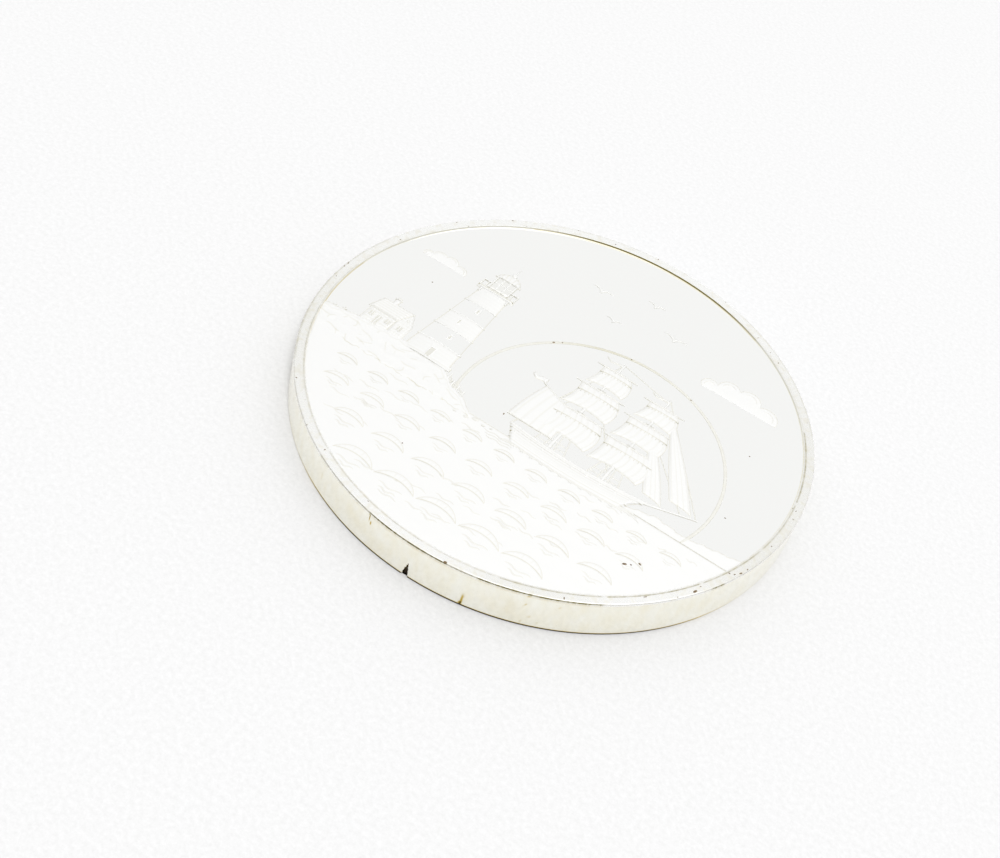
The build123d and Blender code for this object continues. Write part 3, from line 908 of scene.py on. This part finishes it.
class MEDAL_OT_raise_hills(bpy.types.Operator):
    """Raises the low far hills beyond the sea"""
    bl_idname = "medal.raise_hills"
    bl_label = "Raise hills"

    def execute(self, context):
        s = medal_sizes()
        u = np.linspace(0, 1.01, 120)
        x = s.field_radius - HILL_WIDTH + u * HILL_WIDTH
        top = s.horizon + HILL_RISE * outline(HILLS, u) + 0.05 * np.sin(5.1 * x) + 0.03 * np.sin(11.3 * x + 1)
        upper = under_rim(points(x, np.maximum(top, s.horizon + 0.002)), s)
        plan = ruled(under_rim(points(x, s.horizon), s), upper, spaced(30))
        slopes = 0.7 + 0.3 * saw(0.5 * plan[..., 0] + 0.9 * plan[..., 1])
        add_piece("hills", [struck(plan, s.sky * slopes, s, "lt", edge=0.15)], frosted_silver)
        return {"FINISHED"}


def cloud(s, place):
    """A bank under arcs from corner to corner, with a smaller arc curled inside each."""
    wide, tall = CLOUD_WIDTH * place.size, CLOUD_RISE * place.size
    base = np.array([place.x, place.y]) * s.field_radius
    spots = [base + (c.along * wide, c.up * tall) for c in CLOUD]
    lobes = [
        arc(a, b, CLOUD_LOBE * tall, np.linspace(0, 1, 18)[:-1]) for a, b in zip(spots, spots[1:])]
    upper = np.concatenate(lobes + [spots[-1][None]])
    plan = under_rim(ruled(line(spots[0], spots[-1], len(upper)), upper, spaced(16)), s)
    height = s.sky * smooth_step(inset(plan, "b"), -0.1, 0.5)
    made = [struck(plan, height, s, "lrt", edge=0.25)]
    for a, b in zip(spots, spots[1:]):
        middle = (a + b) / 2 + (b - a)[::-1] * (0.1, -0.1)
        curl = middle + 0.62 * (arc(a, b, CLOUD_LOBE * tall, np.linspace(0.1, 0.95, 22)) - middle)
        made.append(stroke(curl, 0.12, 0.03, s, base=s.sky - 0.01))
    return made


class MEDAL_OT_drift_clouds(bpy.types.Operator):
    """Drifts two banks of lobed cloud across the sky, each lobe with its curl"""
    bl_idname = "medal.drift_clouds"
    bl_label = "Drift clouds"

    def execute(self, context):
        s = medal_sizes()
        add_piece("clouds", sum([cloud(s, place) for place in CLOUDS], []), frosted_silver)
        return {"FINISHED"}


def gull(s, place):
    """Two wings, each an arc that thins to its tip, and a small oval body."""
    x, y = place.x * s.field_radius, place.y * s.field_radius
    wing, wide = GULL_SPAN * place.size / 2, GULL_LINE * place.size
    t = np.linspace(0, 1, 24)
    made = []
    for side in (-1, 1):
        path = arc((x, y), (x + side * wing, y + 0.3 * wing), side * (0.1 * wing + wide / 2), t)
        made.append(ridge(path, 1.15 * wide * (1 - t) ** 0.55, 0.09 * (1 - t) ** 0.4, s, sections=9))
    return made + [lens(x, y - 0.03, 0.36 * place.size, 0.2 * place.size, 70, 0.1, s)]


class MEDAL_OT_fly_gulls(bpy.types.Operator):
    """Sets the gulls in the sky, each two pointed arcs that meet at a small body"""
    bl_idname = "medal.fly_gulls"
    bl_label = "Fly gulls"

    def execute(self, context):
        s = medal_sizes()
        add_piece("gulls", sum([gull(s, place) for place in GULLS], []), frosted_silver)
        return {"FINISHED"}


def cliff_top(s, x):
    """The headland's skyline, with two sines for its unevenness."""
    rise = HEADLAND_RISE * outline(HEADLAND, (x + s.field_radius) / HEADLAND_WIDTH)
    return s.horizon + rise + 0.03 * np.sin(6.3 * x) + 0.02 * np.sin(14 * x + 2)


def cliff(s):
    """A band from a wavy shore to the skyline. Its rock is two crossed zigzags that fade out
    under the turf."""
    x = np.linspace(-s.field_radius, -s.field_radius + HEADLAND_WIDTH, 260)
    shore = s.horizon - SHORE_DROP + 0.07 * np.sin(4.1 * x) + 0.04 * np.sin(9.7 * x + 1)
    upper = under_rim(points(x, np.maximum(cliff_top(s, x), shore + 0.01)), s)
    plan = ruled(under_rim(points(x, shore), s), upper, spaced(70))
    px, py = plan[..., 0], plan[..., 1]
    strata = saw(0.2 * px + 1.1 * py + 0.3 * np.sin(0.9 * px) + 0.08 * np.sin(4.3 * px))
    cracks = saw(0.9 * px - 0.25 * py + 0.35 * np.sin(2.9 * py + 0.8 * px))
    broken = smooth_step(np.sin(1.7 * px + 2.3 * py) + np.sin(3.1 * px - 1.1 * py), -0.2, 0.6)
    across = smooth_step(np.sin(2.3 * px + 4 * py) + np.sin(1.3 * px - 3 * py + 1), 0.2, 0.8)
    below_top, above_shore = inset(plan, "t"), inset(plan, "b")
    bare = smooth_step(below_top, 0.3, 0.8)
    height = s.land * (1 - bare * (0.35 * strata + 0.2 * across * cracks))
    height = height * (0.6 + 0.4 * smooth_step(above_shore, 0, 0.3))
    seams = bare * 0.3 * (broken * bell(strata, 0.12) + across * bell(cracks, 0.1))
    turf = 0.15 * bell(below_top - 0.42 - 0.06 * np.sin(5 * px), 0.05)
    # Painted shade along the shore, with toned seams and a band of turf
    return struck(
        plan, height, s, "rt", edge=0.25, fade=0.12, tone=fringe(above_shore, 0.12) + seams + turf)


def boulder(s, place):
    """A low oval stone with a smaller one on it."""
    x, y, size = place.x, s.horizon + place.y, place.size
    return [
        lens(x, y, size, 0.62 * size, 12, 0.15, s, tone=0.15),
        lens(x + 0.12 * size, y + 0.1 * size, 0.5 * size, 0.3 * size, -20, 0.165, s, tone=0.2)]


def grass(s, x):
    """A tuft of three curved blades on the top of the cliff."""
    foot = float(cliff_top(s, x)) - 0.15
    steps = np.linspace(0, 1, 8)
    blades = [
        arc((x + lean / 3, foot), (x + lean, foot + 0.42 - abs(lean)), lean / 4, steps)
        for lean in (-0.18, 0.0, 0.2)]
    return [ridge(blade, 0.11 - 0.08 * steps, 0.05, s, base=0.04, sections=5, tone=0.15) for blade in blades]


def fence(s):
    """Posts down the slope beside the tower, with a rail from post to post."""
    posts = np.linspace(*FENCE_ENDS, 4)
    feet = cliff_top(s, posts) - 0.05
    made = [rod((x, y - 0.1), (x, y + 0.55), 0.16, 0.06, s, base=0.02) for x, y in zip(posts, feet)]
    return made + [ridge(points(posts, feet + 0.3), 0.12, 0.04, s, base=0.02, sections=5, tone=0.15)]


class MEDAL_OT_raise_headland(bpy.types.Operator):
    """Raises the rocky headland with its shore, boulders, grass and fence"""
    bl_idname = "medal.raise_headland"
    bl_label = "Raise headland"

    def execute(self, context):
        s = medal_sizes()
        shells = [cliff(s)] + sum([boulder(s, place) for place in ROCKS], [])
        shells += sum([grass(s, x) for x in TUFTS], [])
        add_piece("headland", shells + fence(s), frosted_silver, proof_mirror_silver)
        return {"FINISHED"}


def barrel(s, low, high, finish, grow=1.0, lift=0.0):
    """A length of the low half-round column: height is the crown times 1 - |a|^2.4 across it."""
    across = np.sin(np.linspace(-pi / 2, pi / 2, 45))
    y = np.linspace(low, high, max(6, int((high - low) / 0.12)))
    half_width = np.interp(y, [s.foot_y, s.head_y], [TOWER_FOOT / 2, TOWER_HEAD / 2])
    plan = points(s.tower_x + grow * across[:, None] * half_width[None], y)
    arch = (1 - np.abs(across) ** 2.4)[:, None]
    courses = 0.2 * bells((y - low) / (high - low), max(1, round((high - low) / 0.36)), 0.13)
    # Painted shade darkens the column's two sides, and the frosted bands are toned at their course joints
    tone = np.clip(fringe(inset(plan, "lr"), 0.16) + (1 - finish) * courses[None], 0, 1)
    return shell(plan, s.building * arch + lift, s, finish, tone)


def tower(s):
    """Five bands by turns frosted and polished, with a ledge between each, a plinth, a door and
    three windows."""
    x, edges = s.tower_x, np.linspace(s.foot_y, s.head_y, 6)
    made = [barrel(s, a, b, number % 2) for number, (a, b) in enumerate(zip(edges, edges[1:]))]
    made += [barrel(s, y - 0.06, y + 0.06, 0, 1.05, 0.012) for y in edges[1:-1]]
    made.append(barrel(s, s.foot_y - 0.05, s.foot_y + 0.35, 0, 1.1, 0.01))
    heights = 0.232, 0.238
    made += opening(x, s.foot_y + 0.05, 0.56, 1.2, (0.14, 0.05, 0.25), heights, (0.1, 0.09), s, tone=0.35)
    for y, turn in ((edges[1] + 0.75, 0.2), (edges[2] + 0.8, -0.25), (edges[3] + 0.85, 0.2)):
        made += opening(x + turn, y, 0.3, 0.7, (0.11, 0.08, 0.12), heights, (0.09, 0.09), s, tone=0.45)
    return made


def lantern(s):
    """Brackets, gallery, a glazed lantern with its bars, and the railing before it."""
    x, y, half = s.tower_x, s.head_y, LANTERN_WIDTH / 2
    glass_y, rail_y, rail_half = y + GALLERY_TALL, y + RAIL_RISE, GALLERY_WIDTH / 2 - 0.05
    made = [
        block(x + side, y - 0.45, 0.26, 0.5, 0.225, s, edge=0.13) for side in np.linspace(-1.2, 1.2, 5)]
    made.append(block(x, y, GALLERY_WIDTH, GALLERY_TALL, 0.235, s, edge=0.2, count=20))
    groove_y = y + GALLERY_TALL / 2
    made.append(rod(
        (x - rail_half, groove_y), (x + rail_half, groove_y), 0.06, 0.004, s, 0.235, 0.7, sections=7))
    made.append(block(x, glass_y, LANTERN_WIDTH, LANTERN_TALL, 0.17, s, finish=1, tone=0.12))
    made += [
        rod((x + bar, glass_y), (x + bar, glass_y + LANTERN_TALL), 0.13, 0.04, s, base=0.16)
        for bar in np.linspace(-half, half, 4)]
    made.append(rod((x - half, y + 1.35), (x + half, y + 1.35), 0.1, 0.035, s, base=0.16))
    made += [
        rod((x + post, y + 0.4), (x + post, rail_y), 0.12, 0.06, s, base=0.06, tone=0.1)
        for post in np.linspace(-1.55, 1.55, 8)]
    made.append(rod((x - rail_half, rail_y), (x + rail_half, rail_y), 0.13, 0.08, s, base=0.06))
    return made


def dome(s):
    """An arc over the lantern with seven ribs, an eaves band, a ball and a spike."""
    x, y, u = s.tower_x, s.head_y + GALLERY_TALL + LANTERN_TALL, spaced(48)
    eaves = points(x + DOME_WIDTH * (u - 0.5), y)
    plan = ruled(eaves, arc(eaves[0], eaves[-1], DOME_RISE, u), spaced(20))
    distance = inset(plan, "t")
    ribs = bells(u, 7, 0.14)[:, None]
    height = 0.225 * shoulder(distance, 0.35) + 0.01 * ribs * shoulder(distance, 0.2)
    # Painted shade along the dome's curved edge, and toned ribs
    return [
        shell(plan, height, s, tone=np.clip(fringe(distance, 0.15) + 0.3 * ribs, 0, 1)),
        block(x, y - 0.1, DOME_WIDTH + 0.2, 0.22, 0.2, s, edge=0.11),
        lens(x, y + 1.02, 0.46, 0.46, 0, 0.2, s),
        ridge(line((x, y + 0.9), (x, y + 2.05), 12), np.linspace(0.22, 0.06, 12), 0.1, s)]


class MEDAL_OT_raise_lighthouse(bpy.types.Operator):
    """Raises the banded lighthouse with its door, windows, gallery, lantern and ribbed dome"""
    bl_idname = "medal.raise_lighthouse"
    bl_label = "Raise lighthouse"

    def execute(self, context):
        s = medal_sizes()
        add_piece("lighthouse", tower(s) + lantern(s) + dome(s), frosted_silver, proof_mirror_silver)
        return {"FINISHED"}


def joint_lines(along, rise, columns, flat, upright):
    """Coursed work's joints: six flat ones up the rise, and upright ones that shift at each course."""
    shift = np.floor(rise * 6) % 2 / 2
    return bells(rise, 6, flat), bells(along + shift / columns, columns, upright)


def stones(s, plan):
    """Faint coursed masonry as tone, in courses 0.3 mm tall."""
    joints = joint_lines(plan[..., 0] / 3, (plan[..., 1] - s.foot_y) / 1.8, 7, 0.12, 0.07)
    return 0.2 * np.maximum(*joints)


def walls(s, left, corner, right, eave):
    """The long wall and the gable end."""
    wall = patch(
        [(left, s.foot_y), (corner, s.foot_y), (corner, eave), (left, eave)], [0] * 4, spaced(40), spaced(24))
    u = np.linspace(0, 1, 41)
    x = corner + (right - corner) * u
    gable = ruled(
        points(x, s.foot_y), points(x, eave + COTTAGE_ROOF * (1 - np.abs(2 * u - 1))), spaced(40))
    return [plate(wall, 0.15, s, tone=stones(s, wall)), plate(gable, 0.18, s, tone=stones(s, gable))]


def tiled_roof(s, left, corner, peak, eave):
    """Six rows of tiles, grooved at their joints."""
    foot, head = eave - 0.05, eave + COTTAGE_ROOF
    tiles = patch(
        [(left - EAVE, foot), (corner + 0.03, foot), (peak, head), (left + EAVE, head)], [0] * 4,
        spaced(72), spaced(48))
    rise = (tiles[..., 1] - eave) / COTTAGE_ROOF
    flat, upright = joint_lines((tiles[..., 0] - left) / 3, rise, 12, 0.14, 0.1)
    grooves = np.clip(flat + 0.6 * upright * (1 - flat), 0, 1)
    return struck(tiles, 0.2 - 0.014 * grooves, s, fade=0.1, tone=0.25 * grooves)


def chimney(s, x, y):
    """A stack across the roof's ridge with its cap and two pots."""
    pots = [block(x + pot, y + 0.54, 0.14, 0.24, 0.1, s) for pot in (-0.12, 0.12)]
    return [
        block(x, y - 0.7, 0.48, 1.2, 0.18, s, edge=0.15), block(x, y + 0.38, 0.62, 0.2, 0.19, s, edge=0.1),
        *pots]


class MEDAL_OT_build_cottage(bpy.types.Operator):
    """Builds the keeper's cottage: long wall, gable end, tiled roof, chimney, windows and door"""
    bl_idname = "medal.build_cottage"
    bl_label = "Build cottage"

    def execute(self, context):
        s = medal_sizes()
        right = s.tower_x - TOWER_FOOT / 2 - COTTAGE_GAP
        left, corner = right - COTTAGE_WIDTH, right - GABLE_WIDTH
        peak, base, eave = (corner + right) / 2, s.foot_y, s.foot_y + COTTAGE_WALL
        shells = walls(s, left, corner, right, eave) + [tiled_roof(s, left, corner, peak, eave)]
        shells += chimney(s, (left + corner) / 2, eave + COTTAGE_ROOF)
        for x, y, wide, tall in (
                (left + 0.51, base + 0.75, 0.42, 0.55), (left + 1.93, base + 0.75, 0.42, 0.55),
                (left + 1.21, base + 0.02, 0.42, 1.2), (peak, base + 0.75, 0.42, 0.6),
                (peak, eave + 0.35, 0.24, 0.3)):
            wall = 0.18 if x > corner else 0.15
            heights = wall + 0.02, wall + 0.026
            shells += opening(x, y, wide, tall, (0.07, 0.07, 0.07), heights, (0.05, 0.03), s)
            shells.append(rod((x, y), (x, y + tall), 0.09, 0.01, s, base=wall + 0.024))
        add_piece("cottage", shells, frosted_silver, proof_mirror_silver)
        return {"FINISHED"}


def ship_spots(s, corners, foot, rise):
    """Drawn corners of the ship as places, from the height of a foot and the size of its rise."""
    return [(s.ship_x + c.along * s.half_hull, foot + c.up * rise) for c in corners]


def rigging(s):
    """Stays between the mastheads, bowsprit and stern, and shrouds with ratlines at each mast."""
    tip = s.bow + BOWSPRIT - (0.1, 0.03)
    after, fore = [np.array([x, s.deck_y + tall]) for x, tall in s.masts]
    stern = np.array([s.ship_x - s.half_hull, s.deck_y + 0.35])
    stays = [
        (fore, tip), (fore - (0, 3.4), tip - (1.1, 0.36)), (after, fore - (0, 0.3)),
        (after - (0, 3.7), (fore[0], s.deck_y + 0.9)), (after, stern), (after - (0, 3.6), stern)]
    made = [rod(start, end, 0.09, 0.035, s, tone=0.3) for start, end in stays]
    for x, tall in s.masts:
        rise = 0.42 * tall
        for foot in np.linspace(-SHROUD_SPREAD, SHROUD_SPREAD, 4):
            top = (x + 0.12 * foot, s.deck_y + rise)
            made.append(rod((x + foot, s.deck_y - 0.1), top, 0.12, 0.035, s, tone=0.2))
        for share in (0.1, 0.2):
            half, y = SHROUD_SPREAD * (1 - 0.88 * share), s.deck_y + share * rise
            made.append(rod((x - half, y), (x + half, y), 0.1, 0.03, s, tone=0.15))
    return made


def spars(s):
    """Masts with tops and balls, yards, the bowsprit and the spanker's gaff and boom."""
    path = line(s.bow - (0.85, 0.28), s.bow + BOWSPRIT, 12)
    made = [ridge(path, np.linspace(0.28, 0.14, 12), 0.1, s)]
    swell = 0.4 + 0.6 * taper(24, 0.6)
    for x, tall in s.masts:
        path = line((x, s.deck_y - 0.75), (x, s.deck_y + tall), 16)
        made.append(ridge(path, np.linspace(0.3, 0.16, 16), 0.1, s))
        for share in (0.415, 0.685):
            made.append(block(x, s.deck_y + share * tall - 0.07, 0.68, 0.16, 0.14, s, edge=0.08))
        made.append(lens(x, s.deck_y + tall + 0.04, 0.26, 0.2, 0, 0.15, s))
        for sail in SAILS:
            half, y = sail.foot_width * s.half_hull + 0.22, s.deck_y + sail.head * tall + 0.02
            path = line((x - half, y), (x + half, y), 24)
            made.append(ridge(path, 0.2 * swell, 0.11 * swell, s, tone=0.12))
    foot, _, peak, head = ship_spots(s, SPANKER, s.deck_y, MAST_TALL)
    made.append(rod(foot, (peak[0], foot[1]), 0.17, 0.1, s, tone=0.12, sections=7))
    made.append(rod(np.add(head, (-0.25, 0.1)), peak, 0.16, 0.1, s, tone=0.12, sections=7))
    return made


def cloth(s, corners, bulges, crown, widths):
    """Cloth inside four arcs: an edge height and a belly of two sines, with a shallow groove and a
    toned line at each seam between its widths of canvas."""
    u, v = spaced(26 + 5 * widths), spaced(36)
    belly = np.sin(pi * (0.06 + 0.88 * u))[:, None] * np.sin(pi * (0.12 + 0.8 * v))[None]
    seams = bells(u, widths, 0.1)[:, None]
    height = crown * (0.62 + 0.38 * belly) - 0.006 * seams
    return struck(patch(corners, bulges, u, v), height, s, edge=0.22, fade=0.12, tone=0.16 * seams)


def square_sail(s, x, tall, sail, widths):
    """A sail on its yard, with a reef band and short reef points that hang from it."""
    foot, head = s.deck_y + sail.foot * tall, s.deck_y + sail.head * tall
    low, high, rise = sail.foot_width * s.half_hull, sail.head_width * s.half_hull, head - foot
    corners = [(x - low, foot), (x + low, foot), (x + high, head), (x - high, head)]
    bulges = [0.12 * rise, -0.14 * rise, 0, -0.07 * rise]
    reef = patch(corners, bulges, np.linspace(0.05, 0.95, 12), np.array([0.7]))[:, 0]
    made = [
        cloth(s, corners, bulges, s.sail, widths),
        ridge(reef, 0.07, 0.012, s, base=s.sail - 0.012, sections=5, tone=0.35)]
    return made + [
        rod((a, b + 0.05), (a + 0.02, b - 0.22), 0.06, 0.014, s, s.sail - 0.01, 0.4) for a, b in reef[1:-1]]


def flag(s, x, y, long, tall):
    """A streaming flag: its hoist is carried to the left along a sine that grows, and narrows."""
    t = np.linspace(0, 1, 40)
    middle, half = y + 0.16 * t * np.sin(2.4 * pi * t), tall / 2 * (1 - 0.5 * t)
    plan = ruled(points(x - long * t, middle - half), points(x - long * t, middle + half), spaced(14))
    folds = 0.1 + 0.03 * np.sin(2.4 * pi * t + 1)[:, None]
    return struck(plan, folds, s, edge=0.12, fade=0.1)


def canvas(s):
    """Three square sails on each mast, two jibs, the spanker, pennants and an ensign."""
    made = []
    for x, tall in s.masts:
        for number, sail in enumerate(SAILS):
            made += square_sail(s, x, tall, sail, 8 - number)
        made.append(flag(s, x, s.deck_y + tall - 0.25, 1.5, 0.24))
    for jib in JIBS:
        tack, clew, head = ship_spots(s, jib, s.deck_y, MAST_TALL)
        made.append(cloth(s, [tack, clew, head, head], [0.1, -0.25, 0, 0.1], 0.165, 4))
    corners = ship_spots(s, SPANKER, s.deck_y, MAST_TALL)
    made.append(cloth(s, corners, [-0.12, 0, 0.05, 0.12], 0.165, 5))
    peak = corners[3]
    made.append(flag(s, peak[0] - 0.15, peak[1] + 0.35, 1.3, 0.6))
    return made


def hull_side(s, u, v):
    """The hull's side: rounded foot, hollow stem, sagging sheer and straight stern."""
    stem = 0.12 * HULL_SIDE
    corners = ship_spots(s, HULL, s.keel_y, HULL_SIDE)
    return patch(corners, [-stem, stem, -0.3 * HULL_SIDE, 0], u, v)


def hull(s):
    """The rounded side with seven plank seams, three wales, nine gun ports and two stern windows."""
    u, v = spaced(90), spaced(40)
    bulge = 0.16 + 0.055 * np.sin(pi * np.clip(v * 1.15, 0, 1))[None]
    planks = bells(v, 7, 0.13)[None]
    made = [struck(hull_side(s, u, v), bulge - 0.008 * planks, s, edge=0.25, tone=0.25 * planks)]
    along = np.linspace(0.005, 0.995, 90)
    rise = shoulder(HULL_LENGTH * np.minimum(along, 1 - along), 0.3)
    for share, wide, high in ((0.38, 0.2, 0.225), (0.84, 0.18, 0.215), (0.99, 0.22, 0.13)):
        path = hull_side(s, along, np.array([share]))[:, 0]
        made.append(ridge(path, wide, 0.04 * rise, s, base=(high - 0.04) * rise))
    for x, y in hull_side(s, np.linspace(0.14, 0.86, 9), np.array([0.62]))[:, 0]:
        made += opening(x, y - 0.1, 0.24, 0.2, (0.08, 0.07, 0.07), (0.226, 0.236), (0.08, 0.08), s)
    for x, y in ship_spots(s, [Corner(-0.985, 0.75), Corner(-0.985, 1.05)], s.keel_y, HULL_SIDE):
        made.append(block(x + 0.42, y - 0.1, 0.24, 0.2, 0.226, s, edge=0.08, finish=1, tone=0.3))
    return made


def foam(s):
    """Curling strokes at the bow, along the foot of the hull and astern."""
    foot = hull_side(s, np.linspace(0.02, 0.98, 12), np.array([0.02]))[:, 0]
    curls = [arc((x - 0.55, y - 0.12), (x + 0.55, y - 0.12), 0.22, np.linspace(0, 1, 16)) for x, y in foot]
    bow = foot[-1]
    for reach, lift in ((1.5, 0.55), (1.1, 0.3), (1.9, 0.2)):
        curls.append(arc(bow - (0.4, 0.1), bow + (reach, lift - 0.3), 0.3, np.linspace(0, 1, 18)))
    made = [stroke(curl, 0.2, 0.06, s, base=0.04, tone=0.1, sections=7) for curl in curls]
    for drop in (0.1, 0.34, 0.58):
        start = foot[0] + (0.5, -drop)
        path = line(start, start - (2.6 - drop, 0), 20)
        path[:, 1] += 0.06 * np.sin(np.linspace(0, 4 * pi, 20))
        made.append(stroke(path, 0.12, 0.05, s, base=s.sea - 0.01))
    return made


class MEDAL_OT_rig_ship(bpy.types.Operator):
    """Builds the ship: planked hull with ports, masts and yards, bellied canvas, rigging and flags"""
    bl_idname = "medal.rig_ship"
    bl_label = "Rig ship"

    def execute(self, context):
        s = medal_sizes()
        shells = rigging(s) + spars(s) + canvas(s) + hull(s) + foam(s)
        add_piece("ship", shells, frosted_silver, proof_mirror_silver)
        return {"FINISHED"}


class MEDAL_OT_scatter_specks(bpy.types.Operator):
    """Scatters the small flakes of dark dirt on the rim and the picture"""
    bl_idname = "medal.scatter_specks"
    bl_label = "Scatter specks"

    def execute(self, context):
        s = medal_sizes()
        shells = []
        for azimuth, radius, *form in RIM_SPECKS:
            x, y = radius * cos(radians(azimuth)), radius * sin(radians(azimuth))
            shells.append(lens(x, y, *form, SPECK_RISE, s, level=s.rim_top))
        for x, y, level, *form in SPECKS:
            shells.append(lens(x, y, *form, 0.02, s, level=s.field_z + s.lift * level))
        add_piece("dirt_specks", shells, grimy_silver)
        return {"FINISHED"}


# Stage

def light_tent(context):
    """A tent, brightest at the far side and overhead, with a dark stretch low down behind the camera.
    Each stretch fades in over a smooth step of how far a direction faces it."""
    world = bpy.data.worlds.new("light_tent")
    context.scene.world = world
    world.use_nodes = True
    tree = world.node_tree
    tree.nodes.clear()
    way = add(tree, "ShaderNodeTexCoord").outputs["Generated"]
    above = add(tree, "ShaderNodeSeparateXYZ", {"Vector": way}).outputs["Z"]
    away, facing = [
        add(tree, "ShaderNodeVectorMath", {0: way, 1: side}, operation="DOT_PRODUCT").outputs["Value"]
        for side in ((-0.11, 0.63, 0.77), (-0.14, -0.99, 0))]
    far_side, overhead, behind, low = [
        add(tree, "ShaderNodeMapRange", {"Value": value, "From Min": start, "From Max": end},
            interpolation_type="SMOOTHSTEP").outputs["Result"]
        for value, start, end in (
            (away, 0.35, 0.75), (above, 0.8, 0.97), (facing, 0.5, 0.92), (above, 0.58, 0.42))]
    dark = add(tree, "ShaderNodeMath", {0: behind, 1: low}, operation="MULTIPLY").outputs["Value"]
    lit = ROOM_LIGHT
    for share, light in ((far_side, TENT_LIGHT), (overhead, HIGH_LIGHT), (dark, DARK_LIGHT)):
        mixed = add(tree, "ShaderNodeMix", {"Factor": share, "A": lit, "B": light}, data_type="RGBA")
        lit = mixed.outputs["Result"]
    background = add(tree, "ShaderNodeBackground", {"Color": lit, "Strength": 1.0})
    add(tree, "ShaderNodeOutputWorld", {"Surface": background.outputs["Background"]})


def hang_lamp(context, name, place, size, energy):
    """A round soft lamp that faces the medal and is hidden from the camera."""
    lamp = bpy.data.lights.new(name, "AREA")
    lamp.shape = "DISK"
    lamp.size = size
    lamp.energy = energy
    box = bpy.data.objects.new(name, lamp)
    box.location = place
    box.rotation_euler = (-place).to_track_quat("-Z", "Y").to_euler()
    box.visible_camera = False
    context.scene.collection.objects.link(box)
    return box


def aim_camera(context):
    """The camera's place, from a fit to the rim's outlines in the photograph."""
    azimuth, elevation, roll = radians(20), radians(44.31), radians(17.42)
    aim, distance = Vector((-1.234, -6.468, 3.28)) * MM, 113.06 * MM
    back = Vector((sin(azimuth) * cos(elevation), -cos(azimuth) * cos(elevation), sin(elevation)))
    data = bpy.data.cameras.new("camera")
    data.lens = 57.6
    data.sensor_width = 36
    data.clip_start = 5 * MM
    camera = bpy.data.objects.new("camera", data)
    camera.location = aim + back * distance
    camera.rotation_mode = "QUATERNION"
    camera.rotation_quaternion = (-back).to_track_quat("-Z", "Y") @ Quaternion((0, 0, 1), roll)
    context.scene.collection.objects.link(camera)
    context.scene.camera = camera


class MEDAL_OT_set_stage(bpy.types.Operator):
    """Sets the pale floor, the soft lights and the camera at the photograph's angle"""
    bl_idname = "medal.set_stage"
    bl_label = "Set stage"

    def execute(self, context):
        mesh = bpy.data.meshes.new("floor")
        mesh.from_pydata([(-2, -2, 0), (2, -2, 0), (2, 2, 0), (-2, 2, 0)], [], [(0, 1, 2, 3)])
        mesh.materials.append(pale_paper())
        floor = bpy.data.objects.new("floor", mesh)
        context.scene.collection.objects.link(floor)
        light_tent(context)
        hang_lamp(context, "soft_box", Vector((0.12, 0.1, 0.6)), 0.5, 0.35)
        # The table's lamp is far off above the camera, and the metal doesn't mirror it
        table = hang_lamp(context, "table_light", Vector((3.2, -5.52, 10.16)), 4.0, 1288.0)
        table.visible_glossy = False
        aim_camera(context)
        context.scene.view_settings.view_transform = "Standard"
        return {"FINISHED"}


class MEDAL_PT_panel(bpy.types.Panel):
    """Lists the medal's pieces and finishes"""
    bl_idname = "MEDAL_PT_panel"
    bl_label = "Commemorative medal"
    bl_space_type = "VIEW_3D"
    bl_region_type = "UI"
    bl_category = "Medal"

    def draw(self, context):
        for operator in OPERATORS:
            self.layout.operator(operator.bl_idname)
        for group in (context.scene.medal_blank, context.scene.medal_relief, context.scene.medal_finishes):
            for key in group.__annotations__:
                self.layout.prop(group, key)


OPERATORS = [
    MEDAL_OT_strike_blank, MEDAL_OT_lay_sea, MEDAL_OT_roll_waves, MEDAL_OT_draw_sun, MEDAL_OT_raise_hills,
    MEDAL_OT_drift_clouds, MEDAL_OT_fly_gulls, MEDAL_OT_raise_headland, MEDAL_OT_raise_lighthouse,
    MEDAL_OT_build_cottage, MEDAL_OT_rig_ship, MEDAL_OT_scatter_specks, MEDAL_OT_set_stage,
]
CLASSES = [MedalBlankSizes, MedalReliefSizes, MedalFinishes, *OPERATORS, MEDAL_PT_panel]
GROUPS = {"medal_blank": MedalBlankSizes, "medal_relief": MedalReliefSizes, "medal_finishes": MedalFinishes}


def register():
    """Registers the classes and hangs the sizes and finishes on the scene."""
    for kind in CLASSES:
        bpy.utils.register_class(kind)
    for name, kind in GROUPS.items():
        setattr(bpy.types.Scene, name, bpy.props.PointerProperty(type=kind))


def unregister():
    """Takes the sizes and finishes off the scene and the classes out."""
    for name in GROUPS:
        delattr(bpy.types.Scene, name)
    for kind in reversed(CLASSES):
        bpy.utils.unregister_class(kind)


def main():
    """Makes every piece and the stage."""
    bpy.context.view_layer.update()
    register()
    bpy.ops.medal.strike_blank()
    bpy.ops.medal.lay_sea()
    bpy.ops.medal.roll_waves()
    bpy.ops.medal.draw_sun()
    bpy.ops.medal.raise_hills()
    bpy.ops.medal.drift_clouds()
    bpy.ops.medal.fly_gulls()
    bpy.ops.medal.raise_headland()
    bpy.ops.medal.raise_lighthouse()
    bpy.ops.medal.build_cottage()
    bpy.ops.medal.rig_ship()
    bpy.ops.medal.scatter_specks()
    bpy.ops.medal.set_stage()


if __name__ == "__main__":
    main()
